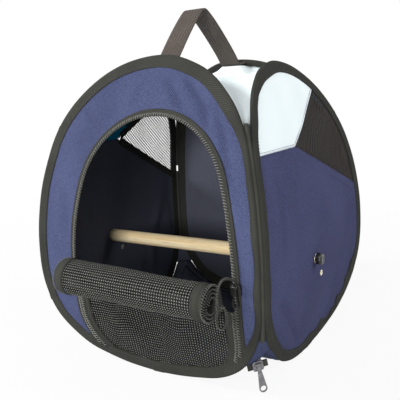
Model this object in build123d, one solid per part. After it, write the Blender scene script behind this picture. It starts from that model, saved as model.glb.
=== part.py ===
from build123d import *
import math
import os

# Soft travel carrier for a small bird.  Four hoops of flat spring wire, each sewn into the bound edge
# of a fabric wall, stand up as the four walls of a cube that swells at the middle and draws in at
# the top.  The walls touch along four seams; above and below the seams they part, and the roof, the
# corner gussets and the floor close the gaps.  X runs to the right along the front, Y to the back,
# Z up, and the carrier stands on Z = 0.  All sizes are in millimetres.

# ---------------------------------------------------------------- driving sizes
# walls: each is a sheet bent along its height only, in two arcs that meet at the widest height
HALF_WIDTH = 133.0        # from the middle to a wall, at the widest height
WALL_HEIGHT = 310.0       # ground to the crown of the front and back walls
SIDE_DROP_HEIGHT = 9.5    # the side walls' crowns lie lower by this much
WIDEST_HEIGHT = 115.0         # height at which the walls stand furthest out
UPPER_RADIUS = 392.0         # radius of a wall above the widest height
LOWER_RADIUS = 360.0         # radius of a wall below it
BOTTOM_RADIUS = 235.0     # bottom edge of a wall
CORNER_RADIUS = 88.0      # bottom corners of a wall

FABRIC = 1.0              # thickness of the woven walls
MESH = 0.7                # thickness of the window and door mesh
BINDING_WIDTH = 12.0      # bound edge round each wall
BINDING_THICK = 4.4       # bound edge, both faces of the tape together
WIRE_WIDTH = 3.6          # flat spring wire, across its face
WIRE_THICK = 2.0          # flat spring wire
SEAM_GAP = 0.2            # between two bound edges that are sewn side by side
EASE = 0.1                # room round a part that lies in its channel
SEWN_GAP = 0.3            # between two soft parts that are sewn together
PRESSED_GAP = 0.1         # between two parts that are pressed together
FABRIC_INSET = 5.5        # the cloth ends this far inside the bound edge

# side walls: the lines that part the light blue top, the mesh window and the navy wall
SHOULDER_DROP_HEIGHT = 92.0           # light blue part's lower edge, below the walls' crown
WINDOW_FRONT_LENGTH = 20.0            # front corner of the window, in front of the side wall's middle
WINDOW_FRONT_DROP_HEIGHT = 88.5       # and below the crown
WINDOW_TOP_LENGTH = 68.0              # where the light blue part's slanted edge nears the top arc
WINDOW_TOP_DROP_HEIGHT = 35.5
WINDOW_BACK_HEIGHT = 155.0            # where the window's lower edge meets the back edge

# door in the front wall: an arch of zip that opens a mesh door
DOOR_MIDDLE_LENGTH = 13.5     # the door's middle lies to the right of the wall's
DOOR_SIDE_WIDTH = 38.5        # from the zip's centre line to the widest line of the walls
DOOR_TOP_DROP_HEIGHT = 51.5   # crown of the arch, below the wall's crown
DOOR_LEG_HEIGHT = 100.0       # height at which the straight legs turn into the arch
DOOR_SIDE_RADIUS = 340.0      # radius of the arch's sides
LEG_FOOT_HEIGHT = 60.0        # height below which the legs lean in towards the bottom edge
LEG_FOOT_RADIUS = 62.0        # radius of that lean
COIL_WIDTH = 2.0          # one half of the zip's coil
COIL_THICK = 2.0
COIL_SPLIT_WIDTH = 0.6          # from the zip's centre line to either coil
TAPE_WIDTH = 6.0          # zip tape beside the coil
TAPE_THICK = 0.8
DOOR_HEM = 8.0            # tape round the mesh door

# the mesh door, unzipped and rolled down to the front
ROLL_RADIUS = 16.8
ROLL_LAYER = 1.6              # thickness of one turn, mesh and hem together
ROLL_LAYER_GAP = 2.6          # from one turn to the next
ROLL_HALF_TURNS = 5
ROLL_HEIGHT = 101.0           # height of the roll's axis
ROLL_LEFT_LENGTH = 5.0        # the roll's left end, inside the zip's left leg
ROLL_RIGHT_LENGTH = 11.0      # the roll's right end, inside the right leg
FOLD_HEIGHT = 88.0            # height at which the standing part of the door ends
FOLD_GAP = 0.5                # between the standing part and the rolled part
WEB_LENGTH = 4.0              # level stretch of the rolled part at the fold
ROLL_STANDOFF_GAP = 1.0       # from the sliders' bars to the roll

# zip sliders and their pullers
SLIDER_WIDTH = 10.0
SLIDER_LENGTH = 11.0
SLIDER_PLATE = 1.3        # thickness of the front and back plates
SLIDER_ROOM = 0.9         # from the coil to a plate: the wall bends a little along the travel
DIVIDER_WIDTH = 0.7       # web between the two plates, which runs between the coils
DIVIDER_LENGTH = 3.0
SLIDER_CORNER_RADIUS = 2.0
DOOR_SLIDER_HEIGHT = 107.0    # height of the sliders' middle, at the roll
DOOR_SLIDER_TRAVEL = 30.0
PULL_BAR_RADIUS = 0.6     # bar that the puller hangs on
PULL_BAR_OUT = 1.3        # from the plate to the bar's axis
PULL_BAR_FROM_TOP = 2.6   # from the slider's upper end to the bar's axis
PULL_EYE_RADIUS = 1.25
PULL_EYE_CLEAR = 0.1      # running clearance of the puller's eye round its bar
PULL_EYE_WIDTH = 3.4
PULL_NECK_LENGTH = 5.0    # from the bar to where the tab widens
PULL_CHEEK_WIDTH = 1.2    # the two lugs that hold the bar
PULL_CHEEK_WALL = 0.6     # of a lug, round the bar
DOOR_PULL_LENGTH = 19.0
DOOR_PULL_WIDTH = 6.4
DOOR_PULL_HOLE_RADIUS = 1.3
DOOR_PULL_SLOT_LENGTH = 7.0
PULL_THICK = 1.2

# perch and its two knobs
PERCH_RADIUS = 7.5
PERCH_EDGE = 1.0              # chamfer of its ends
PERCH_HEIGHT = 105.0
PERCH_FRONT_LENGTH = 15.0     # in front of the carrier's middle
STUD_RADIUS = 2.0             # screw fixed in each knob
STUD_CLEAR_GAP = 0.05         # running clearance of the screw in the perch
STUD_DEPTH = 14.0
STUD_END_GAP = 1.0            # from the screw's end to the bottom of its hole
KNOB_RADIUS = 6.0
KNOB_LENGTH = 7.0
KNOB_EDGE = 1.4               # chamfer of its outer face
KNOB_SCALLOPS = 8
SCALLOP_RADIUS = 1.1
EYELET_FLANGE_RADIUS = 5.2
EYELET_BORE_RADIUS = 2.5
EYELET_WALL = 0.6
EYELET_GRIP_GAP = 0.2         # from the cloth to either flange
SPARE_HOLE_LENGTH = 17.0      # second pair of holes, for a lower perch: behind the first
SPARE_HOLE_DROP_HEIGHT = 20.0 # and below it
SPARE_HOLE_RADIUS = 1.6

# roof, floor and corner gussets
ROOF_SET_DOWN = 1.0       # the roof's face lies this far inside the walls' edge
STAND_FLAT = 0.4          # the bottom edges and the floor are pressed flat by this much
HEM_HEIGHT = 37.0          # height of the hem that crosses each bottom corner
FLAP_SIDE_WIDTH = 25.5    # from the part of the floor that opens to the widest line of the walls
FLAP_GAP = 0.5
GUSSET_TOP = 84.0         # height at which a gusset runs out between two walls

# zip at the bottom front right corner
HEM_SLOPE_DEG = 10.0           # the hem climbs towards the side wall, in degrees
HEM_STRIP_LENGTH = 19.0   # zip strip that hangs from the gusset
HEM_STRIP_WIDTH = 6.0
HEM_STRIP_THICK = 1.6
HEM_DROP_HEIGHT = 1.8            # from the gusset's lower edge to the strip
HEM_CLEAR_GAP = 3.4           # the floor's corner stops this far behind the hem, clear of the slider
BASE_SLIDER_LENGTH = 9.0
BASE_SLIDER_GAP = 0.3
BASE_SLIDER_TRAVEL = 4.0
BASE_PULL_LENGTH = 27.0
BASE_PULL_WIDTH = 7.6
BASE_PULL_HOLE_RADIUS = 2.6

# handle: one strap from the front wall's crown to the back wall's
STRAP_WIDTH = 25.0
STRAP_THICK = 2.2
STRAP_FRONT_LENGTH = 19.5 # from the front wall's crown to the foot of the front leg
STRAP_BACK_LENGTH = 15.5  # from the back wall's crown to the foot of the back leg
STRAP_TOP_LENGTH = 7.0    # the strap's top lies this far in front of the middle
STRAP_TOP_HEIGHT = 52.0   # and this far above the walls
STRAP_FOLD_RADIUS = 9.0
STRAP_SEWN_HEIGHT = 12.0  # the strap turns freely from this far above its sewn ends

# ---------------------------------------------------------------- derived sizes
EDGE_HALF = HALF_WIDTH - BINDING_THICK / 2 - SEAM_GAP   # outer edge of a wall, at the widest height
SIDES = {"front": 0, "right": 90, "back": 180, "left": 270}
SIDE_HEIGHT = WALL_HEIGHT - SIDE_DROP_HEIGHT            # crown of the side walls
CROWNS = {"front": WALL_HEIGHT, "right": SIDE_HEIGHT, "back": WALL_HEIGHT, "left": SIDE_HEIGHT}
DOOR_HALF = HALF_WIDTH - DOOR_SIDE_WIDTH                # half the door's width
DOOR_TOP = WALL_HEIGHT - DOOR_TOP_DROP_HEIGHT           # crown of the door's arch
FLAP_HALF = HALF_WIDTH - FLAP_SIDE_WIDTH                # half the width of the floor's flap
ROLL_LEFT = DOOR_MIDDLE_LENGTH - DOOR_HALF + ROLL_LEFT_LENGTH
ROLL_RIGHT = DOOR_MIDDLE_LENGTH + DOOR_HALF - ROLL_RIGHT_LENGTH
SLAB = 1.3 * HALF_WIDTH                                 # reach of the cutting solids
BEYOND = WALL_HEIGHT / 40                               # the cutting solids pass the part by this much

UP_FRONT = Plane(origin=(0, 0, 0), x_dir=(1, 0, 0), z_dir=(0, -1, 0))     # X and Z, seen from the front
OUT_FRONT = Plane(origin=(0, 0, 0), x_dir=(0, -1, 0), z_dir=(-1, 0, 0))   # outward and Z, front wall


def out_at(z, offset=0.0):
    """Distance of a wall from the middle at height z, offset outward along its normal."""
    bow = UPPER_RADIUS if z > WIDEST_HEIGHT else LOWER_RADIUS
    return HALF_WIDTH - bow + math.sqrt((bow + offset) ** 2 - (z - WIDEST_HEIGHT) ** 2)


def lean_at(z):
    """Angle in degrees by which a wall leans in at height z, positive above the widest height."""
    bow = UPPER_RADIUS if z > WIDEST_HEIGHT else LOWER_RADIUS
    return math.degrees(math.asin((z - WIDEST_HEIGHT) / bow))


# ---------------------------------------------------------------- wall outline
def touching_centre(centre_a, radius_a, centre_b, radius_b, radius):
    """Centre of a circle of the given radius that touches circles a and b from inside a."""
    reach_a = abs(radius_a - radius)
    reach_b = abs(radius_b - radius)
    across = (centre_b[0] - centre_a[0], centre_b[1] - centre_a[1])
    span = math.hypot(*across)
    along = (reach_a ** 2 - reach_b ** 2 + span ** 2) / (2 * span)
    aside = math.sqrt(reach_a ** 2 - along ** 2)
    ex = (across[0] / span, across[1] / span)
    options = [(centre_a[0] + ex[0] * along - ex[1] * s * aside,
                centre_a[1] + ex[1] * along + ex[0] * s * aside) for s in (1, -1)]
    return max(options)


def touch_point(centre, radius, other, other_radius):
    """Point where two circles that touch from inside meet."""
    k = radius / (radius - other_radius)
    return (centre[0] + (other[0] - centre[0]) * k, centre[1] + (other[1] - centre[1]) * k)


def on_circle(centre, radius, start, end):
    """Middle point of the short arc from start to end on a circle."""
    mid = ((start[0] + end[0]) / 2 - centre[0], (start[1] + end[1]) / 2 - centre[1])
    k = radius / math.hypot(*mid)
    return (centre[0] + mid[0] * k, centre[1] + mid[1] * k)


def crown_radius(side_centre, side_radius, top):
    """Radius of the arc on the middle line that reaches the top and touches the side arc."""
    rise = top - side_centre[1]
    return ((side_radius ** 2 - side_centre[0] ** 2 - rise ** 2) / (2 * (side_radius - rise)))


def mirrored_outline(points, centres):
    """Face bounded by the arcs through points on the right and their mirror images on the left."""
    edges = []
    for (start, end), (centre, radius) in zip(zip(points, points[1:]), centres):
        middle = on_circle(centre, radius, start, end)
        edges.append(ThreePointArc(start, middle, end))
    left = [ThreePointArc(*[(-(e @ t).X, (e @ t).Y) for t in (1, 0.5, 0)]) for e in reversed(edges)]
    return make_face(Wire(edges + left).edges())


def wall_face(inset=0.0, top=WALL_HEIGHT):
    """Outline of a wall with its crown at the given height, moved in from the wall's bound edge."""
    upper = (HALF_WIDTH - UPPER_RADIUS, WIDEST_HEIGHT)
    lower = (HALF_WIDTH - LOWER_RADIUS, WIDEST_HEIGHT)
    trim = HALF_WIDTH - EDGE_HALF
    crown = crown_radius(upper, UPPER_RADIUS - trim, top)
    crown_centre = (0, top - crown)
    bottom_centre = (0, BOTTOM_RADIUS - STAND_FLAT)
    corner = touching_centre(lower, LOWER_RADIUS - trim, bottom_centre, BOTTOM_RADIUS, CORNER_RADIUS)
    reach = {"upper": UPPER_RADIUS - trim - inset, "lower": LOWER_RADIUS - trim - inset, "crown": crown - inset,
             "bottom": BOTTOM_RADIUS - inset, "corner": CORNER_RADIUS - inset}
    points = [(0, inset - STAND_FLAT),
              touch_point(corner, reach["corner"], bottom_centre, reach["bottom"]),
              touch_point(corner, reach["corner"], lower, reach["lower"]),
              (EDGE_HALF - inset, WIDEST_HEIGHT),
              touch_point(crown_centre, reach["crown"], upper, reach["upper"]),
              (0, top - inset)]
    centres = [(bottom_centre, reach["bottom"]), (corner, reach["corner"]), (lower, reach["lower"]),
               (upper, reach["upper"]), (crown_centre, reach["crown"])]
    return mirrored_outline(points, centres)


def edge_half_at(z):
    """Half the width of a wall at height z, below its widest height."""
    probe = wall_face() & (Pos(EDGE_HALF, z) * Rectangle(2 * EDGE_HALF, 0.02))
    return probe.bounding_box().max.X


# ---------------------------------------------------------------- bent sheets
def bent_band(outer, inner):
    """The front wall's space between two offsets of its bent surface, over the whole height."""
    low, high = -BEYOND, WALL_HEIGHT + BEYOND
    corners = [[(out_at(z, offset), z) for z in (low, WIDEST_HEIGHT, high)] for offset in (outer, inner)]
    mids = [[(out_at(z, offset), z) for z in ((low + WIDEST_HEIGHT) / 2, (high + WIDEST_HEIGHT) / 2)]
            for offset in (outer, inner)]
    edges = []
    for ends, middle in zip(corners, mids):
        edges += [ThreePointArc(ends[0], middle[0], ends[1]), ThreePointArc(ends[1], middle[1], ends[2])]
    edges += [Line(corners[0][0], corners[1][0]), Line(corners[0][2], corners[1][2])]
    return extrude(OUT_FRONT * make_face(Wire(edges).edges()), SLAB, both=True)


def sheet(face, outer, inner):
    """A flat pattern in X and Z, laid on the front wall's bent surface."""
    return extrude(UP_FRONT * face, SLAB) & bent_band(outer, inner)


# ---------------------------------------------------------------- bound edges and spring wires
def make_binding(top):
    """Folded tape round a wall's edge, hollow for the wire and the cloth, flat where it stands."""
    tape = sheet(wall_face(0, top) - wall_face(BINDING_WIDTH, top), BINDING_THICK / 2, -BINDING_THICK / 2)
    wire_start = (FABRIC_INSET - WIRE_WIDTH) / 2
    channel = sheet(wall_face(wire_start - EASE, top) - wall_face(FABRIC_INSET, top),
                    WIRE_THICK / 2 + EASE, -WIRE_THICK / 2 - EASE)
    slot = sheet(wall_face(FABRIC_INSET - EASE, top) - wall_face(BINDING_WIDTH + EASE, top),
                 FABRIC / 2 + EASE, -FABRIC / 2 - EASE)
    ground = Pos(0, 0, -SLAB) * Box(3 * SLAB, 3 * SLAB, 2 * SLAB)
    return tape - channel - slot - ground


def make_wire(top):
    """Flat spring wire in the middle of a binding's outer fold."""
    start = (FABRIC_INSET - WIRE_WIDTH) / 2
    return sheet(wall_face(start, top) - wall_face(start + WIRE_WIDTH, top), WIRE_THICK / 2, -WIRE_THICK / 2)


# ---------------------------------------------------------------- door zip
def door_face(inset=0.0):
    """The arched door's outline, moved in from the zip's centre line, open-ended below the wall."""
    side = (DOOR_HALF - DOOR_SIDE_RADIUS, DOOR_LEG_HEIGHT)
    crown = crown_radius(side, DOOR_SIDE_RADIUS, DOOR_TOP)
    crown_centre = (0, DOOR_TOP - crown)
    foot_centre = (DOOR_HALF - LEG_FOOT_RADIUS, LEG_FOOT_HEIGHT)
    leg = DOOR_HALF - inset
    low = (foot_centre[0] + math.sqrt((LEG_FOOT_RADIUS - inset) ** 2 - LEG_FOOT_HEIGHT ** 2 / 2),
           LEG_FOOT_HEIGHT - LEG_FOOT_HEIGHT / math.sqrt(2))
    shoulder = touch_point(crown_centre, crown - inset, side, DOOR_SIDE_RADIUS - inset)
    right = [ThreePointArc(low, on_circle(foot_centre, LEG_FOOT_RADIUS - inset, low, (leg, LEG_FOOT_HEIGHT)),
                           (leg, LEG_FOOT_HEIGHT)),
             Line((leg, LEG_FOOT_HEIGHT), (leg, DOOR_LEG_HEIGHT)),
             ThreePointArc((leg, DOOR_LEG_HEIGHT),
                           on_circle(side, DOOR_SIDE_RADIUS - inset, (leg, DOOR_LEG_HEIGHT), shoulder), shoulder),
             ThreePointArc(shoulder, on_circle(crown_centre, crown - inset, shoulder, (0, DOOR_TOP - inset)),
                           (0, DOOR_TOP - inset))]
    left = []
    for edge in reversed(right):
        ends = [(-(edge @ t).X, (edge @ t).Y) for t in (1, 0.5, 0)]
        left.append(Line(ends[0], ends[2]) if edge.geom_type == GeomType.LINE else ThreePointArc(*ends))
    sill = [Line((-low[0], low[1]), (-low[0], -BEYOND)), Line((-low[0], -BEYOND), (low[0], -BEYOND)),
            Line((low[0], -BEYOND), low)]
    return Pos(DOOR_MIDDLE_LENGTH, 0) * make_face(Wire(right + left + sill).edges())


COIL_OUT = COIL_SPLIT_WIDTH + COIL_WIDTH
SLIDER_OUT = COIL_THICK / 2 + SLIDER_ROOM + SLIDER_PLATE + PULL_BAR_OUT + PULL_EYE_RADIUS
ROLL_BACK = HALF_WIDTH + SLIDER_OUT + ROLL_STANDOFF_GAP    # the roll stays in front of the sliders
ZIP_EDGE = COIL_OUT + TAPE_WIDTH
inside_binding = wall_face(BINDING_WIDTH + SEWN_GAP)
below_fold = Pos(0, FOLD_HEIGHT - FOLD_GAP) * Rectangle(3 * SLAB, 2 * SLAB, align=(Align.CENTER, Align.MAX))


def make_opening_zip():
    """The arch of zip on the front wall: tape outside, half a coil inside."""
    tape = door_face(-ZIP_EDGE) - door_face(-COIL_OUT)
    coil = door_face(-COIL_OUT) - door_face(-COIL_SPLIT_WIDTH)
    return (sheet(tape & inside_binding, TAPE_THICK / 2, -TAPE_THICK / 2)
            + sheet(coil & inside_binding, COIL_THICK / 2, -COIL_THICK / 2))


def make_door_zips():
    """The door's half of the zip where the door still stands: one strip on each leg."""
    band = (door_face(COIL_SPLIT_WIDTH) - door_face(COIL_OUT)) & inside_binding & below_fold
    hem = (door_face(COIL_OUT) - door_face(COIL_OUT + DOOR_HEM)) & inside_binding & below_fold
    strips = sheet(band, COIL_THICK / 2, -COIL_THICK / 2) + sheet(hem, TAPE_THICK / 2, -TAPE_THICK / 2)
    return sorted(strips.solids(), key=lambda s: s.center().X)


# ---------------------------------------------------------------- rolled door
def make_roll():
    """The door's upper part, rolled outward: a spiral of half turns and the web that carries it."""
    side_view = Plane(origin=(ROLL_LEFT, 0, 0), x_dir=(0, 1, 0), z_dir=(1, 0, 0))
    radius = ROLL_RADIUS - ROLL_LAYER / 2
    back = -ROLL_BACK - ROLL_LAYER / 2
    start, side = back, 1
    turns = []
    for _ in range(ROLL_HALF_TURNS):
        middle = start - side * radius
        end = start - 2 * side * radius
        turns.append(ThreePointArc((start, ROLL_HEIGHT), (middle, ROLL_HEIGHT + side * radius), (end, ROLL_HEIGHT)))
        start = end
        side = -side
        radius -= (ROLL_LAYER + ROLL_LAYER_GAP) / 2
    spiral = extrude(side_view * trace(Wire(turns), ROLL_LAYER), ROLL_RIGHT - ROLL_LEFT)
    # web from the fold up to the roll's back, between the two zips
    fold = -out_at(FOLD_HEIGHT)
    level = FOLD_HEIGHT + ROLL_LAYER / 2
    web_line = FilletPolyline((fold + MESH / 2, level), (fold - WEB_LENGTH, level),
                              (back, ROLL_HEIGHT - WEB_LENGTH), (back, ROLL_HEIGHT), radius=WEB_LENGTH / 2)
    clear = COIL_OUT + SLIDER_WIDTH / 2
    left = DOOR_MIDDLE_LENGTH - DOOR_HALF + clear
    right = DOOR_MIDDLE_LENGTH + DOOR_HALF - clear
    web_view = Plane(origin=(left, 0, 0), x_dir=(0, 1, 0), z_dir=(1, 0, 0))
    return spiral + extrude(web_view * trace(web_line, ROLL_LAYER), right - left)


# ---------------------------------------------------------------- zip sliders and pullers
def pull_bar(plate_face, top):
    """Bar and two lugs that the puller hangs on, standing on the slider's front plate."""
    bar_out = plate_face + PULL_BAR_OUT
    bar_z = top - PULL_BAR_FROM_TOP
    gap = PULL_EYE_WIDTH / 2 + 2 * PULL_EYE_CLEAR
    lug_radius = PULL_BAR_RADIUS + PULL_CHEEK_WALL
    body = Pos(0, -bar_out, bar_z) * Rot(0, 90, 0) * Cylinder(PULL_BAR_RADIUS, 2 * gap + PULL_CHEEK_WIDTH)
    for side in (1, -1):
        middle = side * (gap + PULL_CHEEK_WIDTH / 2)
        block = Pos(middle, -(plate_face + PULL_BAR_OUT / 2), bar_z) * Box(
            PULL_CHEEK_WIDTH, PULL_BAR_OUT, 2 * lug_radius)
        cap = Pos(middle, -bar_out, bar_z) * Rot(0, 90, 0) * Cylinder(lug_radius, PULL_CHEEK_WIDTH)
        body += block + cap
    return body


def make_puller(plate_face, top, length, width, hole):
    """Flat tab that hangs from the slider's bar by a short eye; hole is its opening's sketch."""
    bar_out = plate_face + PULL_BAR_OUT
    bar_z = top - PULL_BAR_FROM_TOP
    on_bar = Pos(0, -bar_out, bar_z) * Rot(0, 90, 0)
    eye = on_bar * Cylinder(PULL_EYE_RADIUS, PULL_EYE_WIDTH)
    bore = on_bar * Cylinder(PULL_BAR_RADIUS + PULL_EYE_CLEAR, 3 * PULL_EYE_WIDTH)
    end = bar_z - length + width / 2
    neck_end = bar_z - PULL_NECK_LENGTH
    half_eye = PULL_EYE_WIDTH / 2
    outline = Polyline((-half_eye, bar_z), (half_eye, bar_z), (half_eye, neck_end), (width / 2, end),
                       (-width / 2, end), (-half_eye, neck_end), close=True)
    tab = make_face(outline) + Pos(0, end) * Circle(width / 2) - Pos(0, end) * hole
    plate = Pos(0, -bar_out, 0) * extrude(UP_FRONT * tab, PULL_THICK / 2, both=True)
    return plate + eye - bore


def slider_plates(length, inner):
    """Front and back plate of a slider, inner being the distance from the zip's middle to a plate."""
    plates = []
    for side in (-1, 1):
        plate = Pos(0, side * (inner + SLIDER_PLATE / 2), 0) * Box(SLIDER_WIDTH, SLIDER_PLATE, length)
        plates.append(fillet(plate.edges().filter_by(Axis.Y), SLIDER_CORNER_RADIUS))
    return plates


def travel_chord(height, travel):
    """Tilt in degrees of a straight slide along the front wall, and how far the wall bows from it."""
    tilt = math.degrees(math.atan2(out_at(height) - out_at(height - travel), travel))
    bow = LOWER_RADIUS - math.sqrt(LOWER_RADIUS ** 2 - (travel / 2) ** 2)
    return tilt, bow


def make_door_slider(side):
    """Slider and puller on one leg of the door: side is 1 on the right and -1 on the left."""
    inner = COIL_THICK / 2 + SLIDER_ROOM
    outer = inner + SLIDER_PLATE
    top = SLIDER_LENGTH / 2
    front, back = slider_plates(SLIDER_LENGTH, inner)
    divider = Pos(0, 0, top - DIVIDER_LENGTH) * Box(DIVIDER_WIDTH, 2 * inner + SLIDER_PLATE, DIVIDER_LENGTH)
    slider = front + back + divider + pull_bar(outer, top)
    slot_length = DOOR_PULL_SLOT_LENGTH
    slot = Pos(0, slot_length / 2) * Rot(0, 0, 90) * SlotOverall(
        slot_length + 2 * DOOR_PULL_HOLE_RADIUS, 2 * DOOR_PULL_HOLE_RADIUS)
    puller = make_puller(outer, top, DOOR_PULL_LENGTH, DOOR_PULL_WIDTH, slot)
    tilt, bow = travel_chord(DOOR_SLIDER_HEIGHT, DOOR_SLIDER_TRAVEL)
    place = Pos(DOOR_MIDDLE_LENGTH + side * DOOR_HALF, -out_at(DOOR_SLIDER_HEIGHT, bow / 2), DOOR_SLIDER_HEIGHT) * Rot(tilt, 0, 0)
    return place * slider, place * puller


# ---------------------------------------------------------------- roof, floor, gussets
def prism_pair(inset):
    """The two pairs of facing walls' outlines pushed through the carrier, crossing at right angles."""
    return (extrude(UP_FRONT * wall_face(inset), SLAB, both=True)
            + Rot(0, 0, 90) * extrude(UP_FRONT * wall_face(inset, SIDE_HEIGHT), SLAB, both=True))


def cabin(clearance):
    """The space between the four walls."""
    low, high = -BEYOND, WALL_HEIGHT + BEYOND
    edges = []
    for side in (1, -1):
        ends = [(side * out_at(z, -clearance), z) for z in (low, WIDEST_HEIGHT, high)]
        mids = [(side * out_at(z, -clearance), z) for z in ((low + WIDEST_HEIGHT) / 2, (high + WIDEST_HEIGHT) / 2)]
        edges += [ThreePointArc(ends[0], mids[0], ends[1]), ThreePointArc(ends[1], mids[1], ends[2])]
    edges += [Line((-out_at(z, -clearance), z), (out_at(z, -clearance), z)) for z in (low, high)]
    core = extrude(OUT_FRONT * make_face(Wire(edges).edges()), SLAB, both=True)
    return core & (Rot(0, 0, 90) * core)


inside_walls = cabin(BINDING_THICK / 2 + SEWN_GAP)
crown_out = out_at(WALL_HEIGHT)
strap_front = STRAP_FRONT_LENGTH - crown_out
strap_back = crown_out - STRAP_BACK_LENGTH


def seam_top(top):
    """Height at which a wall's crown arc leaves its side arc, where it parts from its neighbours."""
    upper = (HALF_WIDTH - UPPER_RADIUS, WIDEST_HEIGHT)
    trim = HALF_WIDTH - EDGE_HALF
    crown = crown_radius(upper, UPPER_RADIUS - trim, top)
    return touch_point((0, top - crown), crown, upper, UPPER_RADIUS - trim)[1]


def make_roof():
    """Two crossing vaults that meet the top arcs of all four walls."""
    shell = prism_pair(ROOF_SET_DOWN) - prism_pair(ROOF_SET_DOWN + FABRIC)
    above = Pos(0, 0, seam_top(SIDE_HEIGHT) + SLAB) * Box(3 * SLAB, 3 * SLAB, 2 * SLAB)
    return shell & inside_walls & above


def make_floor():
    """The same vaults upside down, with a flat hem across each corner; the flap and its rim."""
    shell = prism_pair(0) - prism_pair(FABRIC)
    band = Pos(0, 0, HEM_HEIGHT / 2) * Box(3 * SLAB, 3 * SLAB, HEM_HEIGHT)
    vault = shell & inside_walls & band
    flap = vault & Box(2 * FLAP_HALF, 2 * FLAP_HALF, SLAB)
    rim = vault - Box(2 * (FLAP_HALF + FLAP_GAP), 2 * (FLAP_HALF + FLAP_GAP), SLAB)
    low = FLAP_HALF + FLAP_GAP
    corner = Pos(low, -low, HEM_HEIGHT - FABRIC / 2) * Box(
        HALF_WIDTH, HALF_WIDTH, FABRIC, align=(Align.MIN, Align.MAX, Align.CENTER))
    hem_line = Rot(0, 0, 45) * Pos(0, -corner_reach(HEM_HEIGHT) + HEM_CLEAR_GAP, 0) * Box(
        SLAB, SLAB, SLAB, align=(Align.CENTER, Align.MIN, Align.CENTER))
    corner = corner & inside_walls & hem_line
    for turn in SIDES.values():
        rim += Rot(0, 0, turn) * corner
    return flap, rim


def corner_reach(z):
    """From the middle to the hem line across a bottom corner, along the diagonal, at height z."""
    return (edge_half_at(z) + out_at(z)) / math.sqrt(2)


def corner_gap(z):
    """Half the gap between two walls at a bottom corner at height z."""
    return (out_at(z) - edge_half_at(z)) / math.sqrt(2)


def make_gusset():
    """Curved triangle of cloth between two walls, for the corner at +X, -Y."""
    heights = (HEM_HEIGHT, (HEM_HEIGHT + GUSSET_TOP) / 2, GUSSET_TOP)
    profile = []
    for offset in (FABRIC / 2, -FABRIC / 2):
        profile.append([(corner_reach(z) + offset, z) for z in heights])
    edges = [ThreePointArc(*profile[0]), ThreePointArc(*profile[1]),
             Line(profile[0][0], profile[1][0]), Line(profile[0][2], profile[1][2])]
    diagonal = Plane(origin=(0, 0, 0), x_dir=(1, -1, 0), z_dir=(-1, -1, 0))
    strip = extrude(diagonal * make_face(Wire(edges).edges()), SLAB / 4, both=True)
    half = [max(corner_gap(z) - BINDING_THICK / 2, SEAM_GAP) for z in heights]
    across = Plane(origin=(0, 0, 0), x_dir=(1, 1, 0), z_dir=(1, -1, 0))
    sides = [ThreePointArc(*[(s * h, z) for h, z in zip(half, heights)]) for s in (1, -1)]
    ends = [Line((-half[0], heights[0]), (half[0], heights[0])), Line((-half[2], heights[2]), (half[2], heights[2]))]
    triangle = extrude(across * make_face(Wire(sides + ends).edges()), 2 * SLAB)
    return strip & triangle


# ---------------------------------------------------------------- handle
def make_strap():
    """Front foot, free strap, back foot: one webbing strap, parted at the height where it turns."""
    foot_z = WALL_HEIGHT + STRAP_THICK / 4
    line = FilletPolyline((strap_front, foot_z), (-STRAP_TOP_LENGTH, WALL_HEIGHT + STRAP_TOP_HEIGHT),
                          (strap_back, foot_z), radius=STRAP_FOLD_RADIUS)
    side_view = Plane(origin=(-STRAP_WIDTH / 2, 0, 0), x_dir=(0, 1, 0), z_dir=(1, 0, 0))
    strap = extrude(side_view * trace(line, STRAP_THICK), STRAP_WIDTH)
    above = Pos(0, 0, WALL_HEIGHT + STRAP_SEWN_HEIGHT) * Box(
        SLAB, 2 * SLAB, SLAB, align=(Align.CENTER, Align.CENTER, Align.MIN))
    sewn = Pos(0, 0, WALL_HEIGHT + STRAP_THICK) * Box(
        SLAB, 2 * SLAB, SLAB, align=(Align.CENTER, Align.CENTER, Align.MAX))
    feet = sorted((strap - above - sewn).solids(), key=lambda f: f.center().Y)
    return strap & above, feet[0], feet[1]


def make_patch(foot_y):
    """End of the strap, sewn flat on the roof between the foot and the wall's bound edge."""
    edge = crown_out - BINDING_THICK / 2 - SEWN_GAP
    length = edge - abs(foot_y)
    return Pos(0, math.copysign(edge - length / 2, foot_y), WALL_HEIGHT - ROOF_SET_DOWN + EASE) * Box(
        STRAP_WIDTH, length, STRAP_THICK, align=(Align.CENTER, Align.CENTER, Align.MIN))


# ---------------------------------------------------------------- build
def side_patterns(flip):
    """Navy, light blue and window patterns of a side wall; flip mirrors them for the left wall."""
    front = (-WINDOW_FRONT_LENGTH, WALL_HEIGHT - WINDOW_FRONT_DROP_HEIGHT)
    far = 2 * WALL_HEIGHT

    def beyond(point):
        """A point outside the wall on the line from the window's front corner through the given one."""
        across, up = point[0] - front[0], point[1] - front[1]
        return (far, front[1] + up / across * (far - front[0]))

    shoulder = (-far, WALL_HEIGHT - SHOULDER_DROP_HEIGHT)
    top = beyond((WINDOW_TOP_LENGTH, WALL_HEIGHT - WINDOW_TOP_DROP_HEIGHT))
    back = beyond((HALF_WIDTH, WINDOW_BACK_HEIGHT))
    regions = {"lower_panel": [shoulder, front, back, (far, -far), (-far, -far)],
               "upper_panel": [shoulder, front, top, (far, 2 * far), (-far, 2 * far)],
               "window_mesh": [front, back, top]}
    return {name: wall_face(FABRIC_INSET, SIDE_HEIGHT) & make_face(
        Polyline(*[(flip * x, z) for x, z in points], close=True)) for name, points in regions.items()}


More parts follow.
